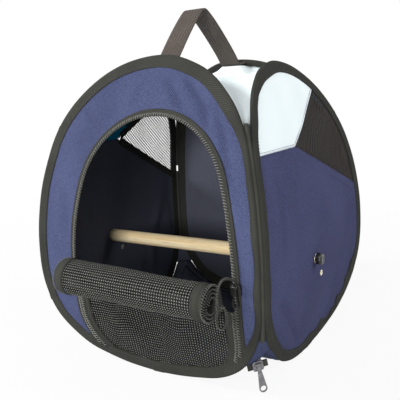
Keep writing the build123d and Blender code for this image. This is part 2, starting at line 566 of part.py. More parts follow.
def make_eyelet(bore, flange):
    """Two-part eyelet closed through the cloth, its axis along Y."""
    clear = FABRIC / 2 + EYELET_GRIP_GAP
    height = 2 * (clear + EYELET_WALL)
    barrel = Cylinder(bore + EYELET_WALL, height)
    for side in (1, -1):
        barrel += Pos(0, 0, side * (clear + EYELET_WALL / 2)) * Cylinder(flange, EYELET_WALL)
    return Rot(90, 0, 0) * (barrel - Cylinder(bore, 2 * height))


def make_knob(seat, perch_end):
    """Scalloped knob with its screw, pointing out along -Y from the origin."""
    knob = Cylinder(KNOB_RADIUS, KNOB_LENGTH, align=(Align.CENTER, Align.CENTER, Align.MIN))
    knob = chamfer(knob.edges().sort_by(Axis.Z)[-1], KNOB_EDGE)
    for i in range(KNOB_SCALLOPS):
        knob -= Rot(0, 0, 360 / KNOB_SCALLOPS * i) * Pos(KNOB_RADIUS + SCALLOP_RADIUS / 2, 0, 0) * Cylinder(
            SCALLOP_RADIUS, 3 * KNOB_LENGTH)
    stud_length = seat - perch_end + STUD_DEPTH
    stud = Cylinder(STUD_RADIUS, stud_length, align=(Align.CENTER, Align.CENTER, Align.MAX))
    return Rot(90, 0, 0) * (knob + stud)


parts = {}

for side, turn in SIDES.items():
    parts[side + "_edge_binding"] = Rot(0, 0, turn) * make_binding(CROWNS[side])
    parts[side + "_hoop_wire"] = Rot(0, 0, turn) * make_wire(CROWNS[side])

thick = (FABRIC / 2, -FABRIC / 2)
parts["front_panel"] = sheet(wall_face(FABRIC_INSET) - door_face(-ZIP_EDGE), *thick)
parts["back_panel"] = Rot(0, 0, SIDES["back"]) * sheet(wall_face(FABRIC_INSET), *thick)

# side walls; a wall's own front is at -Y on the right and mirrored on the left
spare_along = SPARE_HOLE_LENGTH - PERCH_FRONT_LENGTH
spare_height = PERCH_HEIGHT - SPARE_HOLE_DROP_HEIGHT
for side, flip in (("right", 1), ("left", -1)):
    turn = Rot(0, 0, SIDES[side])
    patterns = side_patterns(flip)
    holes = (Pos(-flip * PERCH_FRONT_LENGTH, PERCH_HEIGHT) * Circle(EYELET_BORE_RADIUS + EYELET_WALL + EASE)
             + Pos(flip * spare_along, spare_height) * Circle(SPARE_HOLE_RADIUS))
    parts[side + "_lower_panel"] = turn * sheet(patterns["lower_panel"] - holes, *thick)
    parts[side + "_upper_panel"] = turn * sheet(patterns["upper_panel"], *thick)
    parts[side + "_window_mesh"] = turn * sheet(patterns["window_mesh"], MESH / 2, -MESH / 2)
    at_perch = Pos(-flip * PERCH_FRONT_LENGTH, -out_at(PERCH_HEIGHT), PERCH_HEIGHT)
    parts[side + "_perch_eyelet"] = turn * at_perch * make_eyelet(EYELET_BORE_RADIUS, EYELET_FLANGE_RADIUS)

# perch and knobs
eyelet_half = FABRIC / 2 + EYELET_GRIP_GAP + EYELET_WALL
perch_half = out_at(PERCH_HEIGHT) - eyelet_half - EASE
knob_seat = out_at(PERCH_HEIGHT) + eyelet_half + EASE
perch = Cylinder(PERCH_RADIUS, 2 * perch_half)
perch = chamfer(perch.edges(), PERCH_EDGE)
for side, flip in (("right", 1), ("left", -1)):
    perch -= Pos(0, 0, flip * perch_half) * Cylinder(STUD_RADIUS + STUD_CLEAR_GAP, 2 * (STUD_DEPTH + STUD_END_GAP))
    at_perch = Pos(-flip * PERCH_FRONT_LENGTH, -knob_seat, PERCH_HEIGHT)
    parts[side + "_perch_knob"] = Rot(0, 0, SIDES[side]) * at_perch * make_knob(knob_seat, perch_half)
parts["perch"] = Pos(0, -PERCH_FRONT_LENGTH, PERCH_HEIGHT) * Rot(0, 90, 0) * perch

# door
parts["door_opening_zip"] = make_opening_zip()
left_zip, right_zip = make_door_zips()
parts["left_door_zip"] = left_zip
parts["right_door_zip"] = right_zip
screen = door_face(COIL_OUT + DOOR_HEM) & wall_face(FABRIC_INSET) & below_fold
parts["door_screen"] = sheet(screen, MESH / 2, -MESH / 2)
parts["door_roll"] = make_roll()
for side, flip in (("right", 1), ("left", -1)):
    parts[side + "_door_slider"], parts[side + "_door_puller"] = make_door_slider(flip)

# roof, floor, gussets
parts["roof_panel"] = make_roof()
parts["floor_flap"], parts["floor_rim"] = make_floor()
gusset = make_gusset()
for name, turn in (("front_right", 0), ("back_right", 90), ("back_left", 180), ("front_left", 270)):
    parts[name + "_gusset"] = Rot(0, 0, turn) * gusset

# zip at the bottom corner
hem_place = (Rot(0, 0, 45) * Pos(0, -corner_reach(HEM_HEIGHT), HEM_HEIGHT - HEM_STRIP_WIDTH / 2 - HEM_DROP_HEIGHT)
             * Rot(0, -HEM_SLOPE_DEG, 0))
parts["base_zip"] = hem_place * Box(HEM_STRIP_LENGTH, HEM_STRIP_THICK, HEM_STRIP_WIDTH)
base_inner = HEM_STRIP_THICK / 2 + BASE_SLIDER_GAP
base_front, base_back = slider_plates(BASE_SLIDER_LENGTH, base_inner)
base_web = Pos(0, 0, -HEM_STRIP_WIDTH / 2 - BASE_SLIDER_GAP - SLIDER_PLATE / 2) * Box(
    BASE_SLIDER_LENGTH, 2 * base_inner + SLIDER_PLATE, SLIDER_PLATE)
base_top = BASE_SLIDER_LENGTH / 2
base_slider = base_front + base_back + base_web + pull_bar(base_inner + SLIDER_PLATE, base_top)
parts["base_slider"] = hem_place * base_slider
parts["base_puller"] = hem_place * make_puller(base_inner + SLIDER_PLATE, base_top, BASE_PULL_LENGTH,
                                               BASE_PULL_WIDTH, Circle(BASE_PULL_HOLE_RADIUS))

# handle
parts["handle_strap"], parts["handle_front_foot"], parts["handle_back_foot"] = make_strap()
parts["handle_front_patch"] = make_patch(strap_front)
parts["handle_back_patch"] = make_patch(strap_back)

if __name__ == "__main__":
    os.makedirs("parts", exist_ok=True)
    for name, shape in parts.items():
        export_step(shape, "parts/" + name + ".step")
        print(f"{name:24s} solids {len(shape.solids())} volume {shape.volume:10.1f}")
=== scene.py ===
"""Bird travel carrier: cloth, nets, tapes, zips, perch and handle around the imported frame, in a studio."""
import logging
import math
from dataclasses import dataclass, field
from enum import Enum
from typing import Any, Callable, Sequence

import bmesh
import bpy
import numpy as np
from mathutils import Matrix, Vector
from mathutils.geometry import delaunay_2d_cdt


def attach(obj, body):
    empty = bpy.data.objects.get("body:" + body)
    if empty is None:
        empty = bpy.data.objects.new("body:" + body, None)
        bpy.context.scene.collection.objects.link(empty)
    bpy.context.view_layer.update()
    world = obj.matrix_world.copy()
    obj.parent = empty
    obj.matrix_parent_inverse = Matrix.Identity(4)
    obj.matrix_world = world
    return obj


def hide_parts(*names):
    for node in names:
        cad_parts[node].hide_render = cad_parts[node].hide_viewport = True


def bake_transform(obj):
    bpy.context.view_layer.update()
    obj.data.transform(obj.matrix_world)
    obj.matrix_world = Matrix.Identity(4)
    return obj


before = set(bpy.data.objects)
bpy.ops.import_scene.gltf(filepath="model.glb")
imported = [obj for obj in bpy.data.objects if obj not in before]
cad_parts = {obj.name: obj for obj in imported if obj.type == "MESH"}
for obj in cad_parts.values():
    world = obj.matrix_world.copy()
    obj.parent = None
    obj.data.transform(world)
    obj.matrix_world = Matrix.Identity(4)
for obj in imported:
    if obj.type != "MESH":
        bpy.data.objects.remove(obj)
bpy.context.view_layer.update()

log = logging.getLogger("carrier")
MM = 0.001
TURN = 2 * math.pi
Line = np.ndarray          # one point a row


# ---------------------------------------------------------------- shader expressions
@dataclass(frozen=True)
class Value:
    """An output of a shader tree; Python's own signs add its Math nodes."""
    tree: bpy.types.NodeTree
    socket: bpy.types.NodeSocket

    def math(self, operation: str, *others: "Value | float") -> "Value":
        """Adds one Math node.

        Args:
            operation: the Math node's operation.
            others: the second and third operands.
        Returns:
            The node's result.
        """
        node = self.tree.nodes.new("ShaderNodeMath")
        node.operation = operation
        for slot, item in zip(node.inputs, (self, *others)):
            join(self.tree, item, slot)
        return Value(self.tree, node.outputs[0])

    def __add__(self, other: "Value | float") -> "Value":
        """Sum."""
        return self.math("ADD", other)

    def __mul__(self, other: "Value | float") -> "Value":
        """Product."""
        return self.math("MULTIPLY", other)

    def __sub__(self, other: "Value | float") -> "Value":
        """Difference."""
        return self.math("SUBTRACT", other)

    def __rsub__(self, other: float) -> "Value":
        """Difference from a number."""
        return self.math("MULTIPLY_ADD", -1.0, other)

    def __truediv__(self, other: "Value | float") -> "Value":
        """Quotient."""
        return self.math("DIVIDE", other)

    def __pow__(self, other: float) -> "Value":
        """Power."""
        return self.math("POWER", other)

    __radd__ = __add__
    __rmul__ = __mul__

    def sin(self) -> "Value":
        """Sine of the angle in radians."""
        return self.math("SINE")

    def wave(self, pitch: float) -> "Value":
        """A wave from 0 to 1 that repeats each pitch."""
        return (self * (TURN / pitch)).sin() * 0.5 + 0.5

    def cell(self, pitch: float) -> "Value":
        """Distance from the nearest multiple of pitch, from 0 to 0.5 of it."""
        return (self * (1 / pitch)).math("PINGPONG", 0.5)

    def ramp(self, low: float, high: float) -> "Value":
        """0 below low, 1 above high, straight in between."""
        return ((self - low) * (1 / (high - low))).math("MINIMUM", 1.0).math("MAXIMUM", 0.0)


def join(tree: bpy.types.NodeTree, item: Any, socket: bpy.types.NodeSocket) -> None:
    """Links a value to a socket, or sets the socket to a number, colour or object."""
    if isinstance(item, Value):
        tree.links.new(item.socket, socket)
    elif isinstance(item, bpy.types.NodeSocket):
        tree.links.new(item, socket)
    else:
        socket.default_value = item


def add_node(tree: bpy.types.NodeTree, kind: str, settings: dict[str, Any], inputs: dict[Any, Any]) -> Any:
    """Adds a node of any kind.

    Args:
        tree: the tree it goes in.
        kind: the node's type.
        settings: properties set first; "stops" are a ramp's places and colours.
        inputs: a value or link for each socket, by its name or number.
    Returns:
        The node.
    """
    node = tree.nodes.new(kind)
    for name, setting in settings.items():
        if name == "stops":
            while len(node.color_ramp.elements) < len(setting):
                node.color_ramp.elements.new(0.5)
            for stop, (place, colour) in zip(node.color_ramp.elements, setting):
                stop.position, stop.color = place, colour
        else:
            setattr(node, name, setting)
    for name, item in inputs.items():
        join(tree, item, node.inputs[name])
    return node


def tint(hue: Sequence[float]) -> tuple[float, float, float, float]:
    """A display colour from 0 to 255 as the linear colour that a socket takes."""
    linear = [c / 255 / 12.92 if c < 10.3 else ((c / 255 + 0.055) / 1.055) ** 2.4 for c in hue]
    return (*linear, 1.0)


class Dye:
    """One material under construction."""

    def __init__(self, name: str) -> None:
        """Starts an empty material of that name."""
        self.material = bpy.data.materials.new(name)
        self.material.use_nodes = True
        self.tree = self.material.node_tree
        self.tree.nodes.clear()

    def node(self, kind: str, settings: dict[str, Any], inputs: dict[Any, Any], output: Any = 0) -> Value:
        """Adds a node of any kind and returns one of its outputs."""
        return Value(self.tree, add_node(self.tree, kind, settings, inputs).outputs[output])

    def split(self, vector: Value) -> list[Value]:
        """The three parts of a vector."""
        node = add_node(self.tree, "ShaderNodeSeparateXYZ", {}, {0: vector})
        return [Value(self.tree, out) for out in node.outputs]

    def place(self) -> Value:
        """The point on the piece, in metres."""
        return self.node("ShaderNodeTexCoord", {}, {}, "Object")

    def pattern(self) -> list[Value]:
        """The two cloth coordinates of the piece, in millimetres."""
        along, across, _ = self.split(self.node("ShaderNodeUVMap", {"uv_map": "cloth"}, {}))
        return [along * 1000.0, across * 1000.0]

    def noise(self, vector: Value, scale: float, detail: float = 2.0) -> Value:
        """Cloudy variation from 0 to 1."""
        return self.node("ShaderNodeTexNoise", {}, {"Vector": vector, "Scale": scale, "Detail": detail}, 0)

    def blend(self, factor: Value | float, low: Any, high: Any, kind: str = "MIX") -> Value:
        """Mixes two colours by a factor."""
        return self.node("ShaderNodeMix", {"data_type": "RGBA", "blend_type": kind},
                         {0: factor, 6: low, 7: high}, 2)

    def finish(self, colour: Any, rough: Any, height: Value | None = None, depth: float = 0.3,
               constants: dict[str, float] | None = None) -> bpy.types.Material:
        """Ends the material in one surface shader.

        Args:
            colour: base colour.
            rough: roughness.
            height: relief, 0 to 1.
            depth: height of the relief in millimetres.
            constants: other sockets that are the same all over.
        Returns:
            The material.
        """
        inputs = {"Base Color": colour, "Roughness": rough, **(constants or {})}
        if height is not None:
            inputs["Normal"] = self.node("ShaderNodeBump", {}, {"Height": height, "Distance": depth * MM,
                                                                "Strength": 1.0})
        shader = self.node("ShaderNodeBsdfPrincipled", {}, inputs)
        self.node_out(shader)
        return self.material

    def node_out(self, shader: Value) -> None:
        """Ends the material in a shader."""
        add_node(self.tree, "ShaderNodeOutputMaterial", {}, {"Surface": shader})


class Finish:
    """A finish whose material is made once."""
    made: dict[str, bpy.types.Material] = {}

    def material(self) -> bpy.types.Material:
        """The finish's material, made on first use."""
        if self.name not in Finish.made:
            Finish.made[self.name] = self.make(Dye(self.name))
        return Finish.made[self.name]


@dataclass(frozen=True)
class Twill(Finish):
    """Woven cloth with fine slanting ridges."""
    name: str
    # lit is the painted light on the weave's ridges, deep the painted shade in its low places
    lit: tuple[int, int, int]
    deep: tuple[int, int, int]
    pitch: float = 2.1
    ridge: float = 0.2
    contrast: float = 0.5
    rough: float = 0.86

    def make(self, dye: Dye) -> bpy.types.Material:
        """Diagonal ridges crossed by finer yarns, over a faint cloudiness; the colour is painted shade in the
        weave's low places and painted light on its ridges.
        """
        u, v = dye.pattern()
        warped = dye.noise(dye.place(), 38.0, 2.0)
        slant = (u + v + warped * 0.5).wave(self.pitch)
        yarn = (u - v).wave(self.pitch * 0.62)
        cloud = dye.noise(dye.place(), 14.0, 3.0)
        speck = dye.noise(dye.place(), 900.0, 1.0)
        weave = slant * 0.65 + yarn * 0.35
        # shade mixes painted shade and painted light that follow the weave's relief with random cloudy tone and
        # specks
        shade = weave * self.contrast + cloud.ramp(0.3, 0.7) * 0.2 + speck.ramp(0.35, 0.65) * (0.8 - self.contrast)
        colour = dye.blend(shade, tint(self.deep), tint(self.lit))
        return dye.finish(colour, cloud * 0.12 + (self.rough - 0.06), weave, self.ridge,
                          {"Specular IOR Level": 0.08})


@dataclass(frozen=True)
class RibbedTape(Finish):
    """Folded edge tape with slanting ribs."""
    name: str
    # lit is the painted light on the ribs' crests, deep the painted shade between them
    lit: tuple[int, int, int]
    deep: tuple[int, int, int]
    pitch: float = 2.3
    ridge: float = 0.3

    def make(self, dye: Dye) -> bpy.types.Material:
        """Slanting ribs with painted shade between them and painted light on their crests, with cloudy lint."""
        u, v = dye.pattern()
        drift = dye.noise(dye.place(), 70.0, 2.0)
        ribs = (u + v * 1.1 + drift * 1.4).wave(self.pitch)
        fine = (u - v * 0.6).wave(0.7)
        cloud = dye.noise(dye.place(), 26.0, 3.0)
        weave = ribs * 0.8 + fine * 0.2
        # colour: painted shade between the ribs and painted light on their crests, over random cloudy tone
        colour = dye.blend(weave * 0.75 + cloud.ramp(0.3, 0.75) * 0.25, tint(self.deep), tint(self.lit))
        return dye.finish(colour, 0.78 + cloud * 0.15, weave, self.ridge, {"Specular IOR Level": 0.12})


@dataclass(frozen=True)
class Webbing(Finish):
    """Woven strap with herringbone rows."""
    name: str
    # lit is the painted light on the weave's high places, deep the painted shade in its low places
    lit: tuple[int, int, int]
    deep: tuple[int, int, int]
    row: float = 2.7
    column: float = 3.6

    def make(self, dye: Dye) -> bpy.types.Material:
        """Chevrons that lean the other way in each column, with a firm selvedge; the colour is painted shade where
        this relief is low and painted light where it is high.
        """
        u, v = dye.pattern()
        lean = v.cell(self.column) * self.column
        chevron = (u + lean * 1.6).wave(self.row)
        column = v.cell(self.column).ramp(0.02, 0.16)
        pick = u.wave(0.8)
        height = chevron * column * 0.75 + pick * 0.25
        cloud = dye.noise(dye.place(), 60.0, 3.0)
        # colour: painted shade and painted light that follow the weave's relief, over random cloudy tone
        colour = dye.blend(height * 0.7 + cloud * 0.3, tint(self.deep), tint(self.lit))
        return dye.finish(colour, 0.7 + cloud * 0.2, height, 0.4, {"Specular IOR Level": 0.12})


@dataclass(frozen=True)
class NetThread(Finish):
    """Thread of a knotted net, with a painted highlight at each knot."""
    name: str
    thread: tuple[int, int, int]
    # knot is the colour of the painted highlight at each knot, glint its strength
    knot: tuple[int, int, int]
    glint: float = 0.5

    def make(self, dye: Dye) -> bpy.types.Material:
        """Dark thread with a painted highlight at each crossing, where the thread is also smoother."""
        run = dye.node("ShaderNodeAttribute", {"attribute_name": "run"}, {}, "Fac")
        # knot is the share of the painted highlight, 1 at each crossing
        knot = 1.0 - run.math("PINGPONG", 0.5).ramp(0.06, 0.26)
        fuzz = dye.noise(dye.place(), 600.0, 1.0)
        colour = dye.blend(knot * self.glint * (fuzz * 0.7 + 0.5), tint(self.thread), tint(self.knot))
        return dye.finish(colour, 0.7 - knot * 0.25, fuzz, 0.08, {"Specular IOR Level": 0.15})


@dataclass(frozen=True)
class Thread(Finish):
    """Sewing thread or zip monofilament."""
    name: str
    hue: tuple[int, int, int]
    rough: float = 0.45

    def make(self, dye: Dye) -> bpy.types.Material:
        """One colour with twist lines and lint."""
        fuzz = dye.noise(dye.place(), 1400.0, 2.0)
        deep = tuple(int(c * 0.55) for c in self.hue)
        return dye.finish(dye.blend(fuzz.ramp(0.3, 0.7), tint(deep), tint(self.hue)),
                          self.rough + fuzz * 0.15, fuzz, 0.05, {"Specular IOR Level": 0.5})


@dataclass(frozen=True)
class SandedWood(Finish):
    """Bare sanded rod of pale wood, its grain along X."""
    name: str

    def make(self, dye: Dye) -> bpy.types.Material:
        """Long grain lines, darker pores and end rings."""
        x, y, z = dye.split(dye.place())
        streak = dye.node("ShaderNodeCombineXYZ", {}, {0: x * 5.0, 1: y * 150.0, 2: z * 150.0})
        grain = dye.noise(streak, 1.6, 4.0)
        pore = dye.noise(dye.node("ShaderNodeCombineXYZ", {}, {0: x * 60.0, 1: y * 1400.0, 2: z * 1400.0}),
                         1.0, 2.0)
        ring = (((y + 0.021) ** 2.0 + (z - 0.099) ** 2.0) ** 0.5 * 1000.0 + grain * 3.0).wave(2.2)
        base = dye.blend(grain.ramp(0.32, 0.68) * 0.7 + ring * 0.3, tint((240, 208, 152)),
                         tint((254, 238, 200)))
        colour = dye.blend(pore.ramp(0.60, 0.72) * 0.35, base, tint((180, 125, 70)))
        return dye.finish(colour, 0.5 + grain * 0.2, grain * 0.5 + pore * 0.5, 0.10,
                          {"Specular IOR Level": 0.35})


@dataclass(frozen=True)
class Moulded(Finish):
    """Moulded plastic, glossy, with a fine orange-peel and rubbed spots."""
    name: str
    hue: tuple[int, int, int]
    rough: float = 0.22

    def make(self, dye: Dye) -> bpy.types.Material:
        """Faint mottling, and dull rubbed patches."""
        peel = dye.noise(dye.place(), 700.0, 2.0)
        rub = dye.noise(dye.place(), 160.0, 3.0).ramp(0.45, 0.75)
        pale = tuple(min(255, c + 26) for c in self.hue)
        return dye.finish(dye.blend(rub * 0.5, tint(self.hue), tint(pale)), rub * 0.25 + self.rough, peel,
                          0.02)


@dataclass(frozen=True)
class Cast(Finish):
    """Die-cast, lacquered or plated metal."""
    name: str
    hue: tuple[int, int, int]
    metallic: float = 0.8
    rough: float = 0.35

    def make(self, dye: Dye) -> bpy.types.Material:
        """Fine scratches, cloudy plating and a little wear."""
        cloud = dye.noise(dye.place(), 220.0, 3.0)
        scratch = dye.noise(dye.place(), 1600.0, 2.0)
        worn = tuple(min(255, int(c * 1.35) + 8) for c in self.hue)
        colour = dye.blend(cloud.ramp(0.45, 0.8) * 0.6, tint(self.hue), tint(worn))
        return dye.finish(colour, self.rough + cloud * 0.2, scratch, 0.02, {"Metallic": self.metallic})


# In the twill, tape and webbing finishes, the first colour is painted light on the weave's high places and the
# second is painted shade in its low places
NAVY = Twill("navy twill", (80, 87, 121), (30, 35, 57))
# a lighter copy of the same navy for the side walls: painted light for walls that get less of the lamps' light
NAVY_SIDE_PAINTED_LIGHT = Twill("navy twill side painted lighter", (86, 89, 126), (36, 39, 64))
# inside of the navy walls and top of the floor: partly its own grey navy, partly painted light, made paler to
# stand for light reaching the inside
NAVY_LINING_PAINTED_LIGHT = Twill("navy lining painted lighter", (92, 94, 106), (64, 66, 79))
# the pale blue cloth made nearly white: partly its own pale blue, partly painted light like strong light falling
# on it
SKY = Twill("light blue cloth", (244, 252, 253), (234, 247, 251), contrast=0.3)
# the same light blue cloth seen from inside, painted deep teal: painted shade
SKY_INSIDE_PAINTED_SHADE = Twill("light blue cloth inside painted shade", (8, 132, 172), (2, 104, 144), contrast=0.3)
TAPE = RibbedTape("edge tape", (69, 69, 64), (17, 18, 16))
ZIP_TAPE = RibbedTape("zip tape", (66, 66, 61), (26, 26, 24), pitch=1.5, ridge=0.12)
STRAP_WEB = Webbing("strap webbing", (108, 99, 93), (36, 32, 30))
# net colours: the thread, then the painted highlight at its knots
NET = NetThread("black net", (34, 34, 31), (190, 191, 184))
WINDOW_NET = NetThread("window net", (54, 51, 49), (130, 122, 116), glint=0.4)
SEWING = Thread("sewing thread", (44, 44, 40), 0.6)
NAVY_SEWING = Thread("navy thread", (52, 56, 104), 0.6)
COIL = Thread("zip coil", (122, 122, 115), 0.36)
DARK_COIL = Thread("dark zip coil", (76, 76, 71), 0.4)
WOOD = SandedWood("perch wood")
KNOB = Moulded("black knob", (20, 20, 20))
BLACK_METAL = Cast("black lacquered metal", (26, 26, 25), 0.35, 0.28)
GREY_METAL = Cast("grey metal", (116, 115, 118), 0.75, 0.34)
PALE_METAL = Cast("pale eyelet metal", (214, 205, 182), 0.9, 0.25)
STEEL = Cast("spring steel", (170, 172, 176), 1.0, 0.3)


# ---------------------------------------------------------------- geometry nodes
class Pattern:
    """A Geometry Nodes tree that lays small forms along guide lines."""

    def __init__(self, name: str, sizes: dict[str, float]) -> None:
        """Starts a tree with a geometry input, a material and one named input for each size."""
        self.tree = bpy.data.node_groups.new(name, "GeometryNodeTree")
        face = self.tree.interface
        face.new_socket("Geometry", in_out="INPUT", socket_type="NodeSocketGeometry")
        face.new_socket("Geometry", in_out="OUTPUT", socket_type="NodeSocketGeometry")
        face.new_socket("Material", in_out="INPUT", socket_type="NodeSocketMaterial")
        for size, usual in sizes.items():
            face.new_socket(size, in_out="INPUT", socket_type="NodeSocketFloat").default_value = usual
        self.start = self.tree.nodes.new("NodeGroupInput")
        self.end = self.tree.nodes.new("NodeGroupOutput")

    def given(self, name: str) -> bpy.types.NodeSocket:
        """One of the tree's inputs."""
        return self.start.outputs[name]

    def node(self, kind: str, inputs: dict[Any, Any], output: Any = 0,
             **settings: Any) -> bpy.types.NodeSocket:
        """Adds a node and returns one of its outputs."""
        return add_node(self.tree, kind, settings, inputs).outputs[output]

    def vector(self, operation: str, *items: Any, output: Any = 0) -> bpy.types.NodeSocket:
        """Adds a Vector Math node."""
        inputs = {3 if operation == "SCALE" and i == 1 else i: item for i, item in enumerate(items)}
        return self.node("ShaderNodeVectorMath", inputs, output, operation=operation)

    def number(self, operation: str, *items: Any) -> bpy.types.NodeSocket:
        """Adds a Math node."""
        return self.node("ShaderNodeMath", dict(enumerate(items)), operation=operation)

    def close(self, geometry: bpy.types.NodeSocket) -> None:
        """Ends the tree in smooth faces, real geometry and its material."""
        soft = self.node("GeometryNodeSetShadeSmooth", {"Geometry": geometry})
        real = self.node("GeometryNodeRealizeInstances", {0: soft})
        dressed = self.node("GeometryNodeSetMaterial", {"Geometry": real, "Material": self.given("Material")})
        self.tree.links.new(dressed, self.end.inputs[0])

    def grow(self, name: str, guide: bpy.types.Object, finish: Finish,
             sizes: dict[str, float]) -> bpy.types.Object:
        """Runs the tree on a guide and keeps the result as a plain mesh.

        Args:
            name: name of the new piece.
            guide: mesh of edges that the forms follow; it is removed.
            finish: the piece's finish.
            sizes: values for the tree's named inputs.
        Returns:
            The new piece.
        """
        modifier = guide.modifiers.new("pattern", "NODES")
        modifier.node_group = self.tree
        sockets = {s.name: s.identifier for s in self.tree.interface.items_tree
                   if s.item_type == "SOCKET" and s.in_out == "INPUT"}
        modifier[sockets["Material"]] = finish.material()
        for size, value in sizes.items():
            modifier[sockets[size]] = float(value)
        bpy.context.view_layer.update()
        graph = bpy.context.evaluated_depsgraph_get()
        mesh = bpy.data.meshes.new_from_object(guide.evaluated_get(graph), depsgraph=graph)
        guide.modifiers.remove(modifier)
        bpy.data.objects.remove(guide)
        mesh.name = name
        piece = bpy.data.objects.new(name, mesh)
        bpy.context.scene.collection.objects.link(piece)
        if not mesh.materials:
            mesh.materials.append(finish.material())
        return piece


def strand_pattern() -> Pattern:
    """Round threads along the guide lines."""
    made = Pattern("strands", {"Radius": 0.5 * MM, "Sides": 5.0})
    lines = made.node("GeometryNodeMeshToCurve", {"Mesh": made.given("Geometry")})
    sides = made.node("FunctionNodeFloatToInt", {0: made.given("Sides")})
    ring = made.node("GeometryNodeCurvePrimitiveCircle",
                     {"Resolution": sides, "Radius": made.given("Radius")})
    made.close(made.node("GeometryNodeCurveToMesh",
                         {"Curve": lines, "Profile Curve": ring, "Fill Caps": True}))
    return made


def coil_pattern() -> Pattern:
    """A wire wound round each guide line, flattened against the cloth."""
    made = Pattern("zip coil", {"Pitch": 1.5 * MM, "Width": 2 * MM, "Height": 1.6 * MM, "Wire": 0.32 * MM})
    lines = made.node("GeometryNodeMeshToCurve", {"Mesh": made.given("Geometry")})
    step = made.number("DIVIDE", made.given("Pitch"), 8.0)
    fine = add_node(made.tree, "GeometryNodeResampleCurve", {"mode": "LENGTH"},
                    {"Curve": lines, "Length": step})
    turn = made.number("MULTIPLY",
                       made.number("DIVIDE", made.node("GeometryNodeSplineParameter", {}, "Length"),
                                               made.given("Pitch")), TURN)
    out = made.node("GeometryNodeInputNamedAttribute", {"Name": "out"}, 0, data_type="FLOAT_VECTOR")
    side = made.vector("NORMALIZE",
                       made.vector("CROSS_PRODUCT", made.node("GeometryNodeInputTangent", {}), out))
    across = made.number("MULTIPLY", made.number("COSINE", turn),
                         made.number("MULTIPLY", made.given("Width"), 0.5))
    up = made.number("MULTIPLY", made.number("SINE", turn),
                     made.number("MULTIPLY", made.given("Height"), 0.5))
    shift = made.vector("ADD", made.vector("SCALE", side, across), made.vector("SCALE", out, up))
    wound = made.node("GeometryNodeSetPosition", {"Geometry": fine.outputs[0], "Offset": shift})
    ring = made.node("GeometryNodeCurvePrimitiveCircle", {"Resolution": 4, "Radius": made.given("Wire")})
    made.close(made.node("GeometryNodeCurveToMesh",
                         {"Curve": wound, "Profile Curve": ring, "Fill Caps": True}))
    return made


def stitch_pattern() -> Pattern:
    """Short rounded stitches in a row along each guide line."""
    made = Pattern("stitches", {"Pitch": 3 * MM, "Length": 2.1 * MM, "Radius": 0.3 * MM})
    lines = made.node("GeometryNodeMeshToCurve", {"Mesh": made.given("Geometry")})
    spots = add_node(made.tree, "GeometryNodeCurveToPoints", {"mode": "LENGTH"},
                     {"Curve": lines, "Length": made.given("Pitch")})
    half = made.number("MULTIPLY", made.given("Length"), 0.5)
    ends = [made.node("ShaderNodeCombineXYZ", {2: made.number("MULTIPLY", half, s)}) for s in (-1.0, 1.0)]
    dash = made.node("GeometryNodeCurvePrimitiveLine", {"Start": ends[0], "End": ends[1]})
    dash = add_node(made.tree, "GeometryNodeResampleCurve", {"mode": "COUNT"},
                    {"Curve": dash, "Count": 4}).outputs[0]
    along = made.node("GeometryNodeSplineParameter", {}, "Factor")
    bulge = made.number("SQRT", made.number("SINE", made.number("MULTIPLY_ADD", along, 2.6, 0.27)))
    ring = made.node("GeometryNodeCurvePrimitiveCircle", {"Resolution": 5, "Radius": made.given("Radius")})
    dash = made.node("GeometryNodeSetCurveRadius", {"Curve": dash, "Radius": bulge})
    body = made.node("GeometryNodeCurveToMesh", {"Curve": dash, "Profile Curve": ring, "Fill Caps": True,
                                                 "Scale": made.node("GeometryNodeInputRadius", {})})
    aim = made.node("FunctionNodeAlignRotationToVector", {"Vector": spots.outputs["Tangent"]}, axis="Z")
    made.close(made.node("GeometryNodeInstanceOnPoints", {"Points": spots.outputs["Points"], "Instance": body,
                                                          "Rotation": aim}))
    return made


# ---------------------------------------------------------------- lines, regions and meshes
def smooth(x: Any, low: float, high: float) -> Any:
    """0 below low and 1 above high, eased in between."""
    t = np.clip((x - low) / (high - low), 0, 1)
    return t * t * (3 - 2 * t)


def travelled(line: Line) -> np.ndarray:
    """Length along a line at each of its points."""
    return np.concatenate([[0], np.cumsum(np.linalg.norm(np.diff(line, axis=0), axis=1))])


def respaced(line: Line, spacing: float, closed: bool = False) -> Line:
    """The same line with points at even spacing.

    Args:
        line: its points.
        spacing: about how far apart the new points are.
        closed: whether the last point joins the first; it isn't repeated.
    Returns:
        The new points.
    """
    if closed:
        line = np.vstack([line, line[:1]])
    run = travelled(line)
    count = max(2, int(round(run[-1] / spacing)) + 1)
    at = np.linspace(0, run[-1], count)
    new = np.stack([np.interp(at, run, line[:, k]) for k in range(line.shape[1])], axis=1)
    return new[:-1] if closed else new


def eased(line: Line, spacing: float) -> Line:
    """A smooth curve through a few points, sampled at even spacing."""
    curve = bpy.data.curves.new("route", "CURVE")
    curve.dimensions = "3D"
    spline = curve.splines.new("NURBS")
    spline.points.add(len(line) - 1)
    for point, place in zip(spline.points, line):
        point.co = (*place, 1.0)
    spline.order_u, spline.use_endpoint_u, spline.resolution_u = 3, True, 16
    holder = bpy.data.objects.new("route", curve)
    mesh = bpy.data.meshes.new_from_object(holder)
    found = np.array([v.co for v in mesh.vertices])
    bpy.data.objects.remove(holder)
    bpy.data.meshes.remove(mesh)
    return respaced(found, spacing)


def inside(points: Line, loop: Line) -> np.ndarray:
    """Whether each flat point lies inside a closed loop."""
    x, y = points[:, :1], points[:, 1:2]
    x0, y0 = loop[:, 0], loop[:, 1]
    x1, y1 = np.roll(x0, -1), np.roll(y0, -1)
    spans = (y0 > y) != (y1 > y)
    rise = np.where(y1 == y0, 1e-12, y1 - y0)
    return np.count_nonzero(spans & (x < x0 + (y - y0) * (x1 - x0) / rise), axis=1) % 2 == 1


